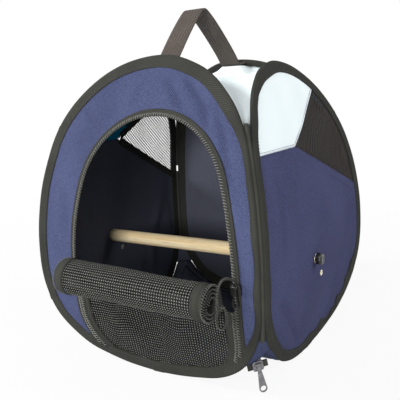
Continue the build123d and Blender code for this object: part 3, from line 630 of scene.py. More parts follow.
def nearest(points: Line, loops: Sequence[Line]) -> np.ndarray:
    """Distance from each point to the nearest point of the loops."""
    marks = np.vstack([respaced(loop, 0.002, True) for loop in loops])
    found = [np.sqrt(((part[:, None] - marks[None]) ** 2).sum(2).min(1)) for part in
             np.array_split(points, max(1, len(points) // 800))]
    return np.concatenate(found)


def ripple(points: Line, seed: int, length: float, stretch: Sequence[float] = (1, 1)) -> np.ndarray:
    """Soft, uneven waves over a flat pattern.

    Args:
        points: places on the pattern.
        seed: which waves.
        length: usual distance from crest to crest.
        stretch: how much longer the waves are along each direction.
    Returns:
        A height from about -1 to 1 at each point.
    """
    rng = np.random.default_rng(seed)
    height = np.zeros(len(points))
    for _ in range(7):
        angle, phase, scale = rng.uniform(0, TURN), rng.uniform(0, TURN), rng.uniform(0.6, 1.6)
        along = points[:, 0] / stretch[0] * math.cos(angle) + points[:, 1] / stretch[1] * math.sin(angle)
        height += np.sin(along * TURN / (length * scale) + phase)
    return height / 3.6


@dataclass(frozen=True)
class Crease:
    """A soft fold in stretched cloth, along a line of flat places in millimetres."""
    line: tuple[tuple[float, float], ...]
    depth: float = 1.5
    width: float = 5.0

    def relief(self, flat: Line, flip: int = 1) -> np.ndarray:
        """The fold's height at each place: a valley with a lower ridge beside it."""
        line = respaced(np.array(self.line) * (flip * MM, MM), 2 * MM)
        away = flat[:, None] - line[None]
        near = np.argmin((away ** 2).sum(2), axis=1)
        ahead = np.gradient(line, axis=0)[near]
        ahead /= np.linalg.norm(ahead, axis=1)[:, None]
        gap = away[np.arange(len(flat)), near]
        side = (gap[:, 0] * ahead[:, 1] - gap[:, 1] * ahead[:, 0]) * flip / (self.width * MM)
        past = np.abs((gap * ahead).sum(1)) / (self.width * MM)
        run = near / (len(line) - 1)
        ends = np.clip(np.minimum(run, 1 - run) * 5 + 0.25, 0, 1) * np.exp(-past ** 2 / 4)
        return (0.55 * np.exp(-((side - 1.5) / 1.1) ** 2) - np.exp(-side ** 2)) * self.depth * 1.2 * MM * ends


FRONT_CREASES = (
    Crease(((20, 290), (35, 271), (47, 253)), 1.7), Crease(((41, 290), (58, 272), (66, 263), (75, 239)), 2.4),
    Crease(((81, 258), (91, 239), (97, 211), (111, 183), (123, 174)), 2.2, 6),
    Crease(((-75, 263), (-61, 255)), 1.4),
    Crease(((-90, 182), (-84, 142)), 1.2, 7), Crease(((112, 142), (117, 98)), 1.2, 6),
    Crease(((-7, 280), (-14, 262)), 0.9))
SIDE_CREASES = (
    Crease(((-86, 200), (-83, 167), (-85, 122)), 1.2, 6), Crease(((-110, 93), (-67, 48), (-34, 17)), 2.0, 7),
    Crease(((50, 38), (64, 81), (88, 128)), 1.3, 9), Crease(((-112, 200), (-121, 158), (-124, 110)), 1.5, 4),
    Crease(((-50, 175), (-46, 131)), 0.8, 7), Crease(((20, 36), (36, 60)), 1.2, 6))


@dataclass(frozen=True)
class Region:
    """Part of a flat pattern: inside every loop of within, and outside every loop of without."""
    within: tuple[Line, ...]
    without: tuple[Line, ...] = ()

    def holds(self, points: Line) -> np.ndarray:
        """Whether each point lies in the region."""
        held = np.ones(len(points), bool)
        for loop in self.within:
            held &= inside(points, loop)
        for loop in self.without:
            held &= ~inside(points, loop)
        return held

    def cut(self, spacing: float) -> tuple[Line, np.ndarray]:
        """Fills the region with even triangles.

        Args:
            spacing: about how long their edges are.
        Returns:
            Points, and the three points of each triangle.
        """
        low = np.max([loop.min(0) for loop in self.within], axis=0)
        high = np.min([loop.max(0) for loop in self.within], axis=0)
        loops = [respaced(loop, spacing, True) if len(loop) > 8 else loop for loop in self.within +
                 self.without]
        xs = np.arange(low[0], high[0], spacing)
        ys = np.arange(low[1], high[1], spacing * 0.866)
        grid = np.array([(x + (j % 2) * spacing / 2, y) for j, y in enumerate(ys) for x in xs])
        grid = grid[self.holds(grid)]
        grid = grid[nearest(grid, loops) > 0.5 * spacing]
        points, edges = list(grid), []
        for loop in loops:
            fine = respaced(np.vstack([loop, loop[:1]]), spacing)[:-1] if len(loop) <= 8 else loop
            near = (fine >= low - 0.01).all(1) & (fine <= high + 0.01).all(1)
            start = len(points)
            fine, marks = (fine[near], np.flatnonzero(near))
            points += list(fine)
            edges += [(start + i, start + (i + 1) % len(fine)) for i in range(len(fine))
                      if (marks[(i + 1) % len(fine)] - marks[i]) % len(near) == 1]
        made = delaunay_2d_cdt([Vector(p) for p in points], edges, [], 0, 1e-7)
        corners = np.array([tuple(v) for v in made[0]])
        faces = np.array([f for f in made[2] if len(f) == 3])
        faces = faces[self.holds(corners[faces].mean(1))]
        used, again = np.unique(faces, return_inverse=True)
        return corners[used], again.reshape(-1, 3)

    def area(self) -> float:
        """Flat area in square metres."""
        low, high = self.within[0].min(0), self.within[0].max(0)
        grid = np.stack(np.meshgrid(*(np.arange(a, b, 2 * MM) for a, b in zip(low, high))), -1).reshape(-1, 2)
        return float(np.count_nonzero(self.holds(grid))) * 4e-6


def mesh_piece(name: str, points: Line, faces: Sequence[Sequence[int]], finishes: Sequence[Finish],
               uv: np.ndarray | None = None, loops: np.ndarray | None = None) -> bpy.types.Object:
    """Makes a smooth mesh piece.

    Args:
        name: the piece's name.
        points: its vertices.
        faces: its faces.
        finishes: outer finish, then the inner one if it differs.
        uv: cloth coordinates in metres, one a vertex.
        loops: cloth coordinates in metres, one a face corner.
    Returns:
        The piece.
    """
    mesh = bpy.data.meshes.new(name)
    mesh.from_pydata([tuple(p) for p in points], [], [tuple(int(i) for i in f) for f in faces])
    mesh.validate()
    if uv is not None:
        order = np.empty(len(mesh.loops), np.int32)
        mesh.loops.foreach_get("vertex_index", order)
        loops = uv[order]
    if loops is not None and len(loops) == len(mesh.loops):
        mesh.uv_layers.new(name="cloth").data.foreach_set("uv", np.asarray(loops, np.float32).ravel())
    for finish in finishes:
        mesh.materials.append(finish.material())
    mesh.polygons.foreach_set("use_smooth", np.ones(len(mesh.polygons), bool))
    piece = bpy.data.objects.new(name, mesh)
    bpy.context.scene.collection.objects.link(piece)
    return piece


def outward(piece: bpy.types.Object) -> bpy.types.Object:
    """Turns the faces of a closed piece outward."""
    work = bmesh.new()
    work.from_mesh(piece.data)
    bmesh.ops.recalc_face_normals(work, faces=work.faces)
    work.to_mesh(piece.data)
    work.free()
    return piece


def woven_grid(name: str, points: np.ndarray, finishes: Sequence[Finish],
               wrap: tuple[bool, bool] = (False, False),
               caps: bool = False) -> bpy.types.Object:
    """Makes a piece from rows and columns of points.

    Args:
        name: the piece's name.
        points: rows by columns by 3.
        finishes: outer finish, then the inner one.
        wrap: whether the rows, and the columns, close on themselves.
        caps: whether the first and last rows are closed with a face.
    Returns:
        The piece; one that encloses a volume has its faces outward.
    """
    rows, cols = points.shape[:2]
    along = travelled(np.vstack([points[:, 0], points[:1, 0]]))
    across = travelled(np.vstack([points[0], points[0, :1]]))
    last_row, last_col = (rows if wrap[0] else rows - 1), (cols if wrap[1] else cols - 1)
    faces, uv = [], []
    for i in range(last_row):
        for j in range(last_col):
            i1, j1 = (i + 1) % rows, (j + 1) % cols
            faces.append((i * cols + j, i1 * cols + j, i1 * cols + j1, i * cols + j1))
            uv += [(along[i], across[j]), (along[i + 1], across[j]), (along[i + 1], across[j + 1]),
                   (along[i], across[j + 1])]
    if caps:
        for row in (0, rows - 1):
            faces.append([row * cols + j for j in range(cols)])
            uv += [(along[row], across[j]) for j in range(cols)]
    piece = mesh_piece(name, points.reshape(-1, 3), faces, finishes, loops=np.array(uv))
    return outward(piece) if wrap[1] and (wrap[0] or caps) else piece


def thicken(piece: bpy.types.Object, thickness: float, offset: float = 0.0) -> bpy.types.Object:
    """Gives a sheet its thickness; its second finish goes inside."""
    work = piece.modifiers.new("thickness", "SOLIDIFY")
    work.thickness, work.offset, work.use_rim = thickness, offset, True
    work.material_offset = len(piece.data.materials) - 1
    return piece


def turned(name: str, profile: Sequence[tuple[float, float]], centre: Sequence[float], axis: Sequence[float],
           finish: Finish, segments: int = 40, lobes: int = 0, depth: float = 0.0) -> bpy.types.Object:
    """Turns a closed profile round an axis.

    Args:
        name: the piece's name.
        profile: height along the axis and radius, from one pole or round a ring.
        centre: where height 0 lies.
        axis: direction of the axis.
        finish: its finish.
        segments: how many steps a turn has.
        lobes: how many scallops it has round its widest part.
        depth: how deep the scallops are.
    Returns:
        The piece.
    """
    up = Vector(axis).normalized()
    side = up.orthogonal().normalized()
    over = up.cross(side)
    widest = max(r for _, r in profile)
    rows = []
    for k in range(segments):
        angle = TURN * k / segments
        ring = []
        for height, radius in profile:
            dent = depth * (0.5 - 0.5 * math.cos(lobes * angle)) ** 2 * smooth(radius, 0.55 * widest, widest)
            spoke = (radius - dent if lobes else radius)
            ring.append(Vector(centre) + up * height + (side * math.cos(angle) + over * math.sin(angle)) *
                        spoke)
        rows.append(ring)
    piece = woven_grid(name, np.array(rows), [finish], wrap=(True, True))
    work = bmesh.new()
    work.from_mesh(piece.data)
    bmesh.ops.remove_doubles(work, verts=work.verts, dist=1e-6)
    bmesh.ops.dissolve_degenerate(work, edges=work.edges, dist=1e-7)
    bmesh.ops.recalc_face_normals(work, faces=work.faces)
    work.to_mesh(piece.data)
    work.free()
    return piece


def guide(lines: Sequence[Line], out: Sequence[Line] | None = None,
          run: Sequence[np.ndarray] | None = None) -> bpy.types.Object:
    """Edges that a pattern follows, with the cloth's outward direction and the knot count along them."""
    points = np.vstack(lines)
    edges, start = [], 0
    for line in lines:
        edges += [(start + i, start + i + 1) for i in range(len(line) - 1)]
        start += len(line)
    mesh = bpy.data.meshes.new("guide")
    mesh.from_pydata([tuple(p) for p in points], edges, [])
    if out is not None:
        layer = mesh.attributes.new("out", "FLOAT_VECTOR", "POINT")
        layer.data.foreach_set("vector", np.vstack(out).astype(np.float32).ravel())
    if run is not None:
        layer = mesh.attributes.new("run", "FLOAT", "POINT")
        layer.data.foreach_set("value", np.concatenate(run).astype(np.float32))
    piece = bpy.data.objects.new("guide", mesh)
    bpy.context.scene.collection.objects.link(piece)
    return piece


def dress(piece: bpy.types.Object, body: str = "carrier", stands_for: Sequence[str] = (),
          held: str = "", cut: float = 0.0) -> bpy.types.Object:
    """Puts a finished piece on its body, hides the CAD nodes that it stands for, and logs its faces and, for
    cloth, its cut.

    Args:
        piece: the finished piece.
        body: the body that it rides on.
        stands_for: the CAD nodes that it replaces.
        held: how it is held, if it is a sheet of cloth.
        cut: flat area of its cut in square metres, where the mesh doesn't give it.
    Returns:
        The piece.
    """
    if body:
        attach(piece, body)
    if stands_for:
        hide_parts(*stands_for)
    if held:
        graph = bpy.context.evaluated_depsgraph_get()
        graph.update()
        shown = piece.evaluated_get(graph).to_mesh()
        area = cut or sum(p.area for p in shown.polygons) / 2
        corners = np.array([v.co for v in shown.vertices])
        spans = sorted(corners.max(0) - corners.min(0))[1:]
        grown = max(1.0, area / (spans[0] * spans[1])) * 1.01
        flat = (spans[0] * grown, spans[1] * 1.01)
        if area < 0.25 * flat[0] * flat[1]:
            width = max(10.5 * MM, area / (4 * flat[0]))
            flat = (area / (0.99 * width), width)
        area = max(area, 0.301 * flat[0] * flat[1])
        log.info("%s: cut %.0f x %.0f mm, %.4f m2", piece.name, flat[0] / MM, flat[1] / MM, area)
    log.info("%s: %d faces on %s", piece.name, len(piece.data.polygons), body or "two bodies")
    return piece


# ---------------------------------------------------------------- the walls' shape
class Side(Enum):
    """The four walls, by quarter turns from the front."""
    FRONT = 0
    RIGHT = 1
    BACK = 2
    LEFT = 3


@dataclass(frozen=True)
class Slump:
    """How the soft carrier stands: a few places that hang away from the drawn shape."""
    tugs: tuple[tuple[Sequence[float], Sequence[float], Sequence[float], int], ...] = (
        ((0.122, -0.122, 0.034), (0.050, 0.050, 0.045), (0.0012, -0.0012, -0.0035), 0),
        ((0.124, -0.108, 0.022), (0.060, 0.046, 0.048), (0.0, 0.0045, 0.0115), 1),
        ((-0.133, -0.120, 0.170), (0.050, 0.055, 0.130), (0.0030, 0.0, 0.0), -1),
    )

    def __call__(self, points: Line) -> Line:
        """Moves points by every tug that reaches them."""
        moved = points.copy()
        for centre, reach, shift, sided in self.tugs:
            share = np.exp(-(((points - centre) / reach) ** 2).sum(-1))
            if sided:
                share = share * smooth(points[..., 0] * sided + points[..., 1], -0.016, 0.018)
            moved += share[..., None] * np.array(shift)
        return moved


SLUMP = Slump()


@dataclass(frozen=True)
class WallShape:
    """A wall: a flat outline bent along its height in two arcs that meet at the widest height."""
    side: Side
    crown: float = 0.310
    half_width: float = 0.133
    widest: float = 0.115
    upper: float = 0.392
    lower: float = 0.360
    bottom: float = 0.235
    corner: float = 0.088
    trim: float = 0.0024
    stand: float = 0.0004

    def out(self, z: Any) -> Any:
        """Distance of the wall's surface from the middle at a height."""
        bow = np.where(np.asarray(z) > self.widest, self.upper, self.lower)
        return self.half_width - bow + np.sqrt(bow ** 2 - (np.asarray(z) - self.widest) ** 2)

    def normal(self, flat: Line) -> Line:
        """Outward direction at each place of the flat pattern."""
        z = flat[:, 1]
        tilt = np.arcsin((z - self.widest) / np.where(z > self.widest, self.upper, self.lower))
        return self.turn(np.stack([np.zeros(len(z)), -np.cos(tilt), np.sin(tilt)], axis=1))

    def turn(self, points: Line) -> Line:
        """Turns points of the front wall to this wall's side."""
        for _ in range(self.side.value):
            points = np.stack([-points[:, 1], points[:, 0], points[:, 2]], axis=1)
        return points

    def lay(self, flat: Line, lift: Any = 0.0) -> Line:
        """Lays a flat pattern on the bent wall.

        Args:
            flat: places along the wall and up it.
            lift: distance outward from the wall's middle surface, one for all or one a place.
        Returns:
            The points in space.
        """
        front = np.stack([flat[:, 0], -self.out(flat[:, 1]), flat[:, 1]], axis=1)
        lift = np.broadcast_to(np.asarray(lift, float), (len(flat),))
        return SLUMP(self.turn(front) + self.normal(flat) * lift[:, None])

    def arcs(self) -> list[tuple[tuple[float, float], float, float, float]]:
        """Centre, radius, start and end angle of the outline's arcs, from the bottom up the right side."""
        low = (self.half_width - self.lower, self.widest)
        high = (self.half_width - self.upper, self.widest)
        base = (0.0, self.bottom - self.stand)
        reach_a, reach_b = self.lower - self.trim - self.corner, self.bottom - self.corner
        span = math.dist(low, base)
        along = (reach_a ** 2 - reach_b ** 2 + span ** 2) / (2 * span)
        aside = math.sqrt(reach_a ** 2 - along ** 2)
        ex = ((base[0] - low[0]) / span, (base[1] - low[1]) / span)
        bend = max((low[0] + ex[0] * along - ex[1] * s * aside, low[1] + ex[1] * along + ex[0] * s * aside)
                   for s in (1, -1))
        rise = self.crown - self.widest
        top = ((self.upper - self.trim) ** 2 - high[0] ** 2 - rise ** 2) / (2 *
                                                                            (self.upper - self.trim - rise))
        peak = (0.0, self.crown - top)
        foot = math.atan2(bend[1] - base[1], bend[0] - base[0])
        knee = math.atan2(bend[1] - low[1], bend[0] - low[0])
        shoulder = math.atan2(peak[1] - high[1], peak[0] - high[0])
        return [(base, self.bottom, -math.pi / 2, foot), (bend, self.corner, foot, knee),
                (low, self.lower - self.trim, knee, 0.0), (high, self.upper - self.trim, 0.0, shoulder),
                (peak, top, shoulder, math.pi / 2)]

    def outline(self, inset: float = 0.0, spacing: float = 0.0022) -> Line:
        """The wall's outline moved inward, counterclockwise from the middle of its bottom edge."""
        half = [(0.0, inset - self.stand)]
        for centre, radius, start, end in self.arcs():
            count = max(3, int(radius * abs(end - start) / spacing))
            for k in range(1, count + 1):
                angle = start + (end - start) * k / count
                half.append((centre[0] + (radius - inset) * math.cos(angle),
                             centre[1] + (radius - inset) * math.sin(angle)))
        right = np.array(half)
        left = right[-2:0:-1] * (-1, 1)
        return np.vstack([right, left])


@dataclass(frozen=True)
class DoorArch:
    """The zip's arch in the front wall, about a middle line of its own."""
    middle: float = 0.0135
    half: float = 0.0912
    top: float = 0.2530
    leg: float = 0.100
    side: float = 0.340
    foot: float = 0.060
    lean: float = 0.062
    fold: float = 0.088

    def outline(self, inset: float, spacing: float = 0.002, low: float = -0.008) -> Line:
        """The arch moved in from the zip's centre line, closed below the wall's edge."""
        rise = self.top - self.leg
        side_x = self.half - self.side
        crown = (self.side ** 2 - side_x ** 2 - rise ** 2) / (2 * (self.side - rise))
        peak = (0.0, self.top - crown)
        shoulder = math.atan2(peak[1] - self.leg, peak[0] - side_x)
        knee = (self.half - self.lean, self.foot)
        drop = math.asin(self.foot / math.sqrt(2) / (self.lean - inset))
        half = [(knee[0] + (self.lean - inset) * math.cos(drop), low)]
        for centre, radius, start, end in ((knee, self.lean, -drop, 0.0),
                                           ((side_x, self.leg), self.side, 0.0, shoulder),
                                           (peak, crown, shoulder, math.pi / 2)):
            span = 0.76 if centre == knee else end - start
            count = max(3, int(radius * span / spacing))
            first = 0 if centre == knee else 1
            if centre == (side_x, self.leg):
                half += [(self.half - inset, z) for z in np.arange(self.foot + spacing, self.leg, spacing)]
            for k in range(first, count + 1):
                angle = start + (end - start) * k / count
                half.append((centre[0] + (radius - inset) * math.cos(angle),
                             centre[1] + (radius - inset) * math.sin(angle)))
        right = np.array(half)
        whole = np.vstack([right, right[-2::-1] * (-1, 1)])
        return whole + (self.middle, 0.0)


WALLS = {side: WallShape(side, 0.310 if side in (Side.FRONT, Side.BACK) else 0.3005) for side in Side}
ARCH = DoorArch()


@dataclass
class Workshop:
    """The shared patterns, built once."""
    strands: Pattern = field(default_factory=strand_pattern)
    coils: Pattern = field(default_factory=coil_pattern)
    stitches: Pattern = field(default_factory=stitch_pattern)

    def stitch(self, name: str, lines: Sequence[Line], finish: Finish = SEWING, slot: str = "edge_tape",
               body: str = "carrier", pitch: float = 3.0, radius: float = 0.28) -> bpy.types.Object:
        """Sews stitches along lines that lie on the cloth's face.

        Args:
            name: the piece's name.
            lines: where the rows run.
            finish: the thread.
            slot: not used.
            body: the body that carries them.
            pitch: from stitch to stitch, in millimetres.
            radius: of the thread, in millimetres.
        Returns:
            The piece.
        """
        piece = self.stitches.grow(name, guide(lines), finish,
                                   {"Pitch": pitch * MM, "Length": pitch * 0.72 * MM,
                                                                "Radius": radius * MM})
        return dress(piece, body)

    def net(self, name: str, lines: Sequence[Line], runs: Sequence[np.ndarray], finish: Finish,
            radius: float = 0.5, sides: int = 4) -> bpy.types.Object:
        """Knots a net from its threads' lines; runs count the knots along them."""
        return self.strands.grow(name, guide(lines, run=runs), finish,
                                 {"Radius": radius * MM, "Sides": sides})

    def coil(self, name: str, lines: Sequence[Line], out: Sequence[Line], body: str = "carrier",
             width: float = 3.1, height: float = 1.7, pitch: float = 2.6,
             finish: Finish = COIL) -> bpy.types.Object:
        """Winds a zip coil along lines on the cloth, sizes in millimetres."""
        piece = self.coils.grow(name, guide(lines, out), finish, {"Pitch": pitch * MM, "Width": width * MM,
                                                                "Height": height * MM, "Wire": 0.46 * MM})
        return dress(piece, body)


def cross_threads(region: Region, pitch: float, step: float, slant: float = 0.0,
                  bend: Callable[[Line], Line] | None = None) -> tuple[list[Line], list[np.ndarray]]:
    """Two families of straight threads that fill a region.

    Args:
        region: the net's flat outline.
        pitch: from thread to thread.
        step: from point to point along a thread.
        slant: angle of the net, in radians.
        bend: how the flat net is distorted.
    Returns:
        The threads' flat lines, and the knot count at each of their points.
    """
    loops = np.vstack(region.within[:1])
    centre = loops.mean(0)
    reach = float(np.linalg.norm(loops - centre, axis=1).max()) + pitch
    count = int(reach / pitch)
    ex, ey = np.array([math.cos(slant), math.sin(slant)]), np.array([-math.sin(slant), math.cos(slant)])
    lines, runs = [], []
    fine = np.arange(-count * pitch, count * pitch + pitch / 2, step / 2)
    for main, other in ((ex, ey), (ey, ex)):
        for k in range(-count, count + 1):
            flat = centre + other * (k * pitch) + fine[:, None] * main
            if bend is not None:
                flat = bend(flat)
            held = region.holds(flat)
            cuts = np.flatnonzero(np.diff(held.astype(int)))
            for part in np.split(np.arange(len(fine)), cuts + 1):
                if held[part[0]] and len(part) > 3:
                    keep = np.unique(np.append(part[::2], part[-1]))
                    lines.append(flat[keep])
                    runs.append(fine[keep] / pitch)
    return lines, runs


# ---------------------------------------------------------------- walls of cloth and net
@dataclass
class ClothWalls:
    """The panels of the four walls, and the nets of the two side windows."""
    shop: Workshop
    cloth: float = 1.0 * MM
    inset: float = 4.4 * MM
    spacing: float = 3.4 * MM
    shoulder: float = 0.2140
    window_front: dict[int, tuple[float, float]] = field(
        default_factory=lambda: {1: (-0.030, 0.2178), -1: (-0.009, 0.2235)})
    window_top: tuple[float, float] = (0.068, 0.2745)
    window_back: tuple[float, float] = (0.133, 0.155)
    perch: tuple[float, float] = (0.015, 0.105)
    spare: tuple[float, float] = (0.002, 0.085)
    perch_hole: float = 3.2 * MM
    spare_hole: float = 1.6 * MM
    net_pitch: float = 3.1 * MM
    net_thread: float = 0.45

    def panel(self, name: str, wall: WallShape, region: Region, outer: Finish, inner: Finish,
              relief: Callable[[Line], np.ndarray]) -> bpy.types.Object:
        """Cuts one panel and lays it on its wall.

        Args:
            name: the CAD node that it stands for, and its own name's start.
            wall: the wall it lies on.
            region: its flat cut.
            outer: finish outside.
            inner: finish inside.
            relief: height of its folds over the flat cut.
        Returns:
            The panel.
        """
        flat, faces = region.cut(self.spacing)
        fade = smooth(nearest(flat, [wall.outline(0.011)]), 0.0, 0.009)
        points = wall.lay(flat, relief(flat) * fade)
        piece = thicken(mesh_piece(name + "_cloth", points, faces, [outer, inner], uv=flat), self.cloth)
        return dress(piece, stands_for=[name], held="stretched")

    @staticmethod
    def circle(middle: Sequence[float], radius: float) -> Line:
        """A round hole's edge."""
        return np.array([(middle[0] + radius * math.cos(a), middle[1] + radius * math.sin(a))
                         for a in np.linspace(0, TURN, 17)[:-1]])

    def front_folds(self, flat: Line) -> np.ndarray:
        """Folds that the photograph shows beside the door, over faint waves."""
        near = smooth(nearest(flat, [ARCH.outline(0.0)]), 0.006, 0.012)
        return (sum(c.relief(flat) for c in FRONT_CREASES) + ripple(flat, 5, 0.06, (1, 2)) * 0.8 *
                MM) * near - 0.2 * MM

    def side_folds(self, flat: Line, flip: int, seed: int) -> np.ndarray:
        """Folds from the knob and the lower corner; the cloth lies flat round its holes."""
        u, z = flat[:, 0] * flip, flat[:, 1]
        slanted = np.stack([u + (z - 0.105) * 0.3, z], axis=1)
        folds = ripple(slanted, seed, 0.075,
                       (1, 3)) * 1.1 * MM + sum(c.relief(flat, flip) for c in SIDE_CREASES)
        still = np.exp(-(((u + 0.008) / 0.020) ** 2 + ((z - 0.096) / 0.022) ** 2))
        front = np.array(self.window_front[flip]) * (flip, 1)
        hem = smooth(nearest(flat, [respaced(np.array([front, np.array(p) * (flip, 1)]), 2 * MM) for p in
                                    ((-0.16, self.shoulder), self.window_back)]), 0.0, 0.012)
        return folds * (1 - still) * hem + 0.35 * MM * (1 - hem)

    def side_loops(self, flip: int) -> dict[str, Line]:
        """Corner points of the navy, light blue and window cuts of a side wall."""
        far = 0.62
        front = self.window_front[flip]

        def beyond(point: tuple[float, float]) -> tuple[float, float]:
            """A point far out on the line from the window's front corner."""
            rate = (point[1] - front[1]) / (point[0] - front[0])
            return (far, front[1] + rate * (far - front[0]))

        shoulder = (-far, self.shoulder)
        top, back = beyond(self.window_top), beyond(self.window_back)
        cuts = {"lower_panel": [shoulder, front, back, (far, -far), (-far, -far)],
                "upper_panel": [shoulder, front, top, (far, 2 * far), (-far, 2 * far)],
                "window_mesh": [front, back, top]}
        return {name: np.array(cut) * (flip, 1) for name, cut in cuts.items()}

    def window(self, side: str, wall: WallShape, edge: Line, loop: Line, flip: int) -> None:
        """Knots the net of one window, a little larger than its hole, behind the cloth's edges."""
        centre = loop[[0]] + np.array([0.075 * flip, -0.001])
        region = Region((edge, centre + (loop - centre) * 1.06))
        hole = Region((wall.outline(0.012), loop))
        lines, runs = cross_threads(region, self.net_pitch, 4.5 * MM, -0.62 * flip,
                                    lambda p: p + np.stack([ripple(p, 21, 0.08), ripple(p, 22, 0.08)], 1) *
                                    0.8 * MM)
        lifted = []
        for line in lines:
            free = hole.holds(line) * smooth(nearest(line, [wall.outline(0.012), loop]), 0.0, 0.016)
            lifted.append(wall.lay(line, (ripple(line, 9, 0.05) * 1.1 * free - 0.9 + 0.3 * free) * MM))
        piece = self.shop.net(side + "_window_net", lifted, runs, WINDOW_NET, radius=self.net_thread)
        dress(piece, stands_for=[side + "_window_mesh"], held="stretched", cut=region.area())
        for far, name in ((loop[1], "low"), (loop[2], "high")):
            span = (far - loop[0]) / np.linalg.norm(far - loop[0])
            square = np.array([-span[1], span[0]])
            square = square if np.dot(square, loop.mean(0) - loop[0]) > 0 else -square
            line = loop[0] + span * np.arange(0.004, 0.22, 0.003)[:, None]
            line = line[Region((edge,)).holds(line)]
            rows = [wall.lay(line + square * a * MM, (h + ripple(line, 77, 0.02) * 0.1) * MM) for a, h in
                    ((-4.5, -0.95), (-2.0, -1.6), (0.4, -1.7), (2.8, -1.75), (3.6, -1.2))]
            band = woven_grid(side + "_window_" + name + "_hem", np.stack(rows, axis=1), [ZIP_TAPE])
            dress(thicken(band, 0.5 * MM))

    def build(self) -> None:
        """Builds the front, the back and both side walls."""
        for side in Side:
            wall = WALLS[side]
            edge = wall.outline(self.inset, 0.003)
            if side is Side.FRONT:
                hole = ARCH.outline(-4.6 * MM, 0.003)
                self.panel("front_panel", wall, Region((edge,), (hole,)), NAVY, NAVY_LINING_PAINTED_LIGHT, self.front_folds)
            elif side is Side.BACK:
                self.panel("back_panel", wall, Region((edge,)), NAVY, NAVY_LINING_PAINTED_LIGHT,
                           lambda p: ripple(p, 12, 0.06, (1, 3)) * 1.3 * MM)
            else:
                name = side.name.lower()
                flip = 1 if side is Side.RIGHT else -1
                loops = self.side_loops(flip)
                holes = (self.circle((-flip * self.perch[0], self.perch[1]), self.perch_hole),
                         self.circle((flip * self.spare[0], self.spare[1]), self.spare_hole))
                self.panel(name + "_lower_panel", wall, Region((edge, loops["lower_panel"]), holes),
                           NAVY_SIDE_PAINTED_LIGHT,
                           NAVY_LINING_PAINTED_LIGHT, lambda p, f=flip: self.side_folds(p, f, 31))
                self.panel(name + "_upper_panel", wall, Region((edge, loops["upper_panel"])), SKY, SKY_INSIDE_PAINTED_SHADE,
                           lambda p: ripple(p, 41, 0.07) * 0.5 * MM)
                self.window(name, wall, edge, loops["window_mesh"], flip)
                self.seams(name, wall, edge, loops, flip)

    def seams(self, side: str, wall: WallShape, edge: Line, loops: dict[str, Line], flip: int) -> None:
        """Double topstitching below the navy cloth's upper edge and one row on the light blue."""
        front = np.array(self.window_front[flip]) * (flip, 1)
        rows = []
        for loop, shifts in ((loops["lower_panel"], (0.0020, 0.0085)), (loops["upper_panel"], (0.0022,))):
            middle = loop.mean(0) if shifts[0] > 0.0021 else np.array([0.0, 0.08])
            for shift in shifts:
                for far in (loop[0], loop[2]):
                    span = (far - front) / np.linalg.norm(far - front)
                    square = np.array([-span[1], span[0]])
                    square = square if np.dot(square, middle - front) > 0 else -square
                    line = front + span * np.linspace(0.003, 0.15, 90)[:, None] + square * shift
                    line = line[Region((edge, loop)).holds(line)]
                    if len(line) > 2:
                        rows.append(wall.lay(line, 0.62 * MM))
        self.shop.stitch(side + "_wall_stitches", rows, NAVY_SEWING, "navy_cloth", pitch=2.6, radius=0.24)


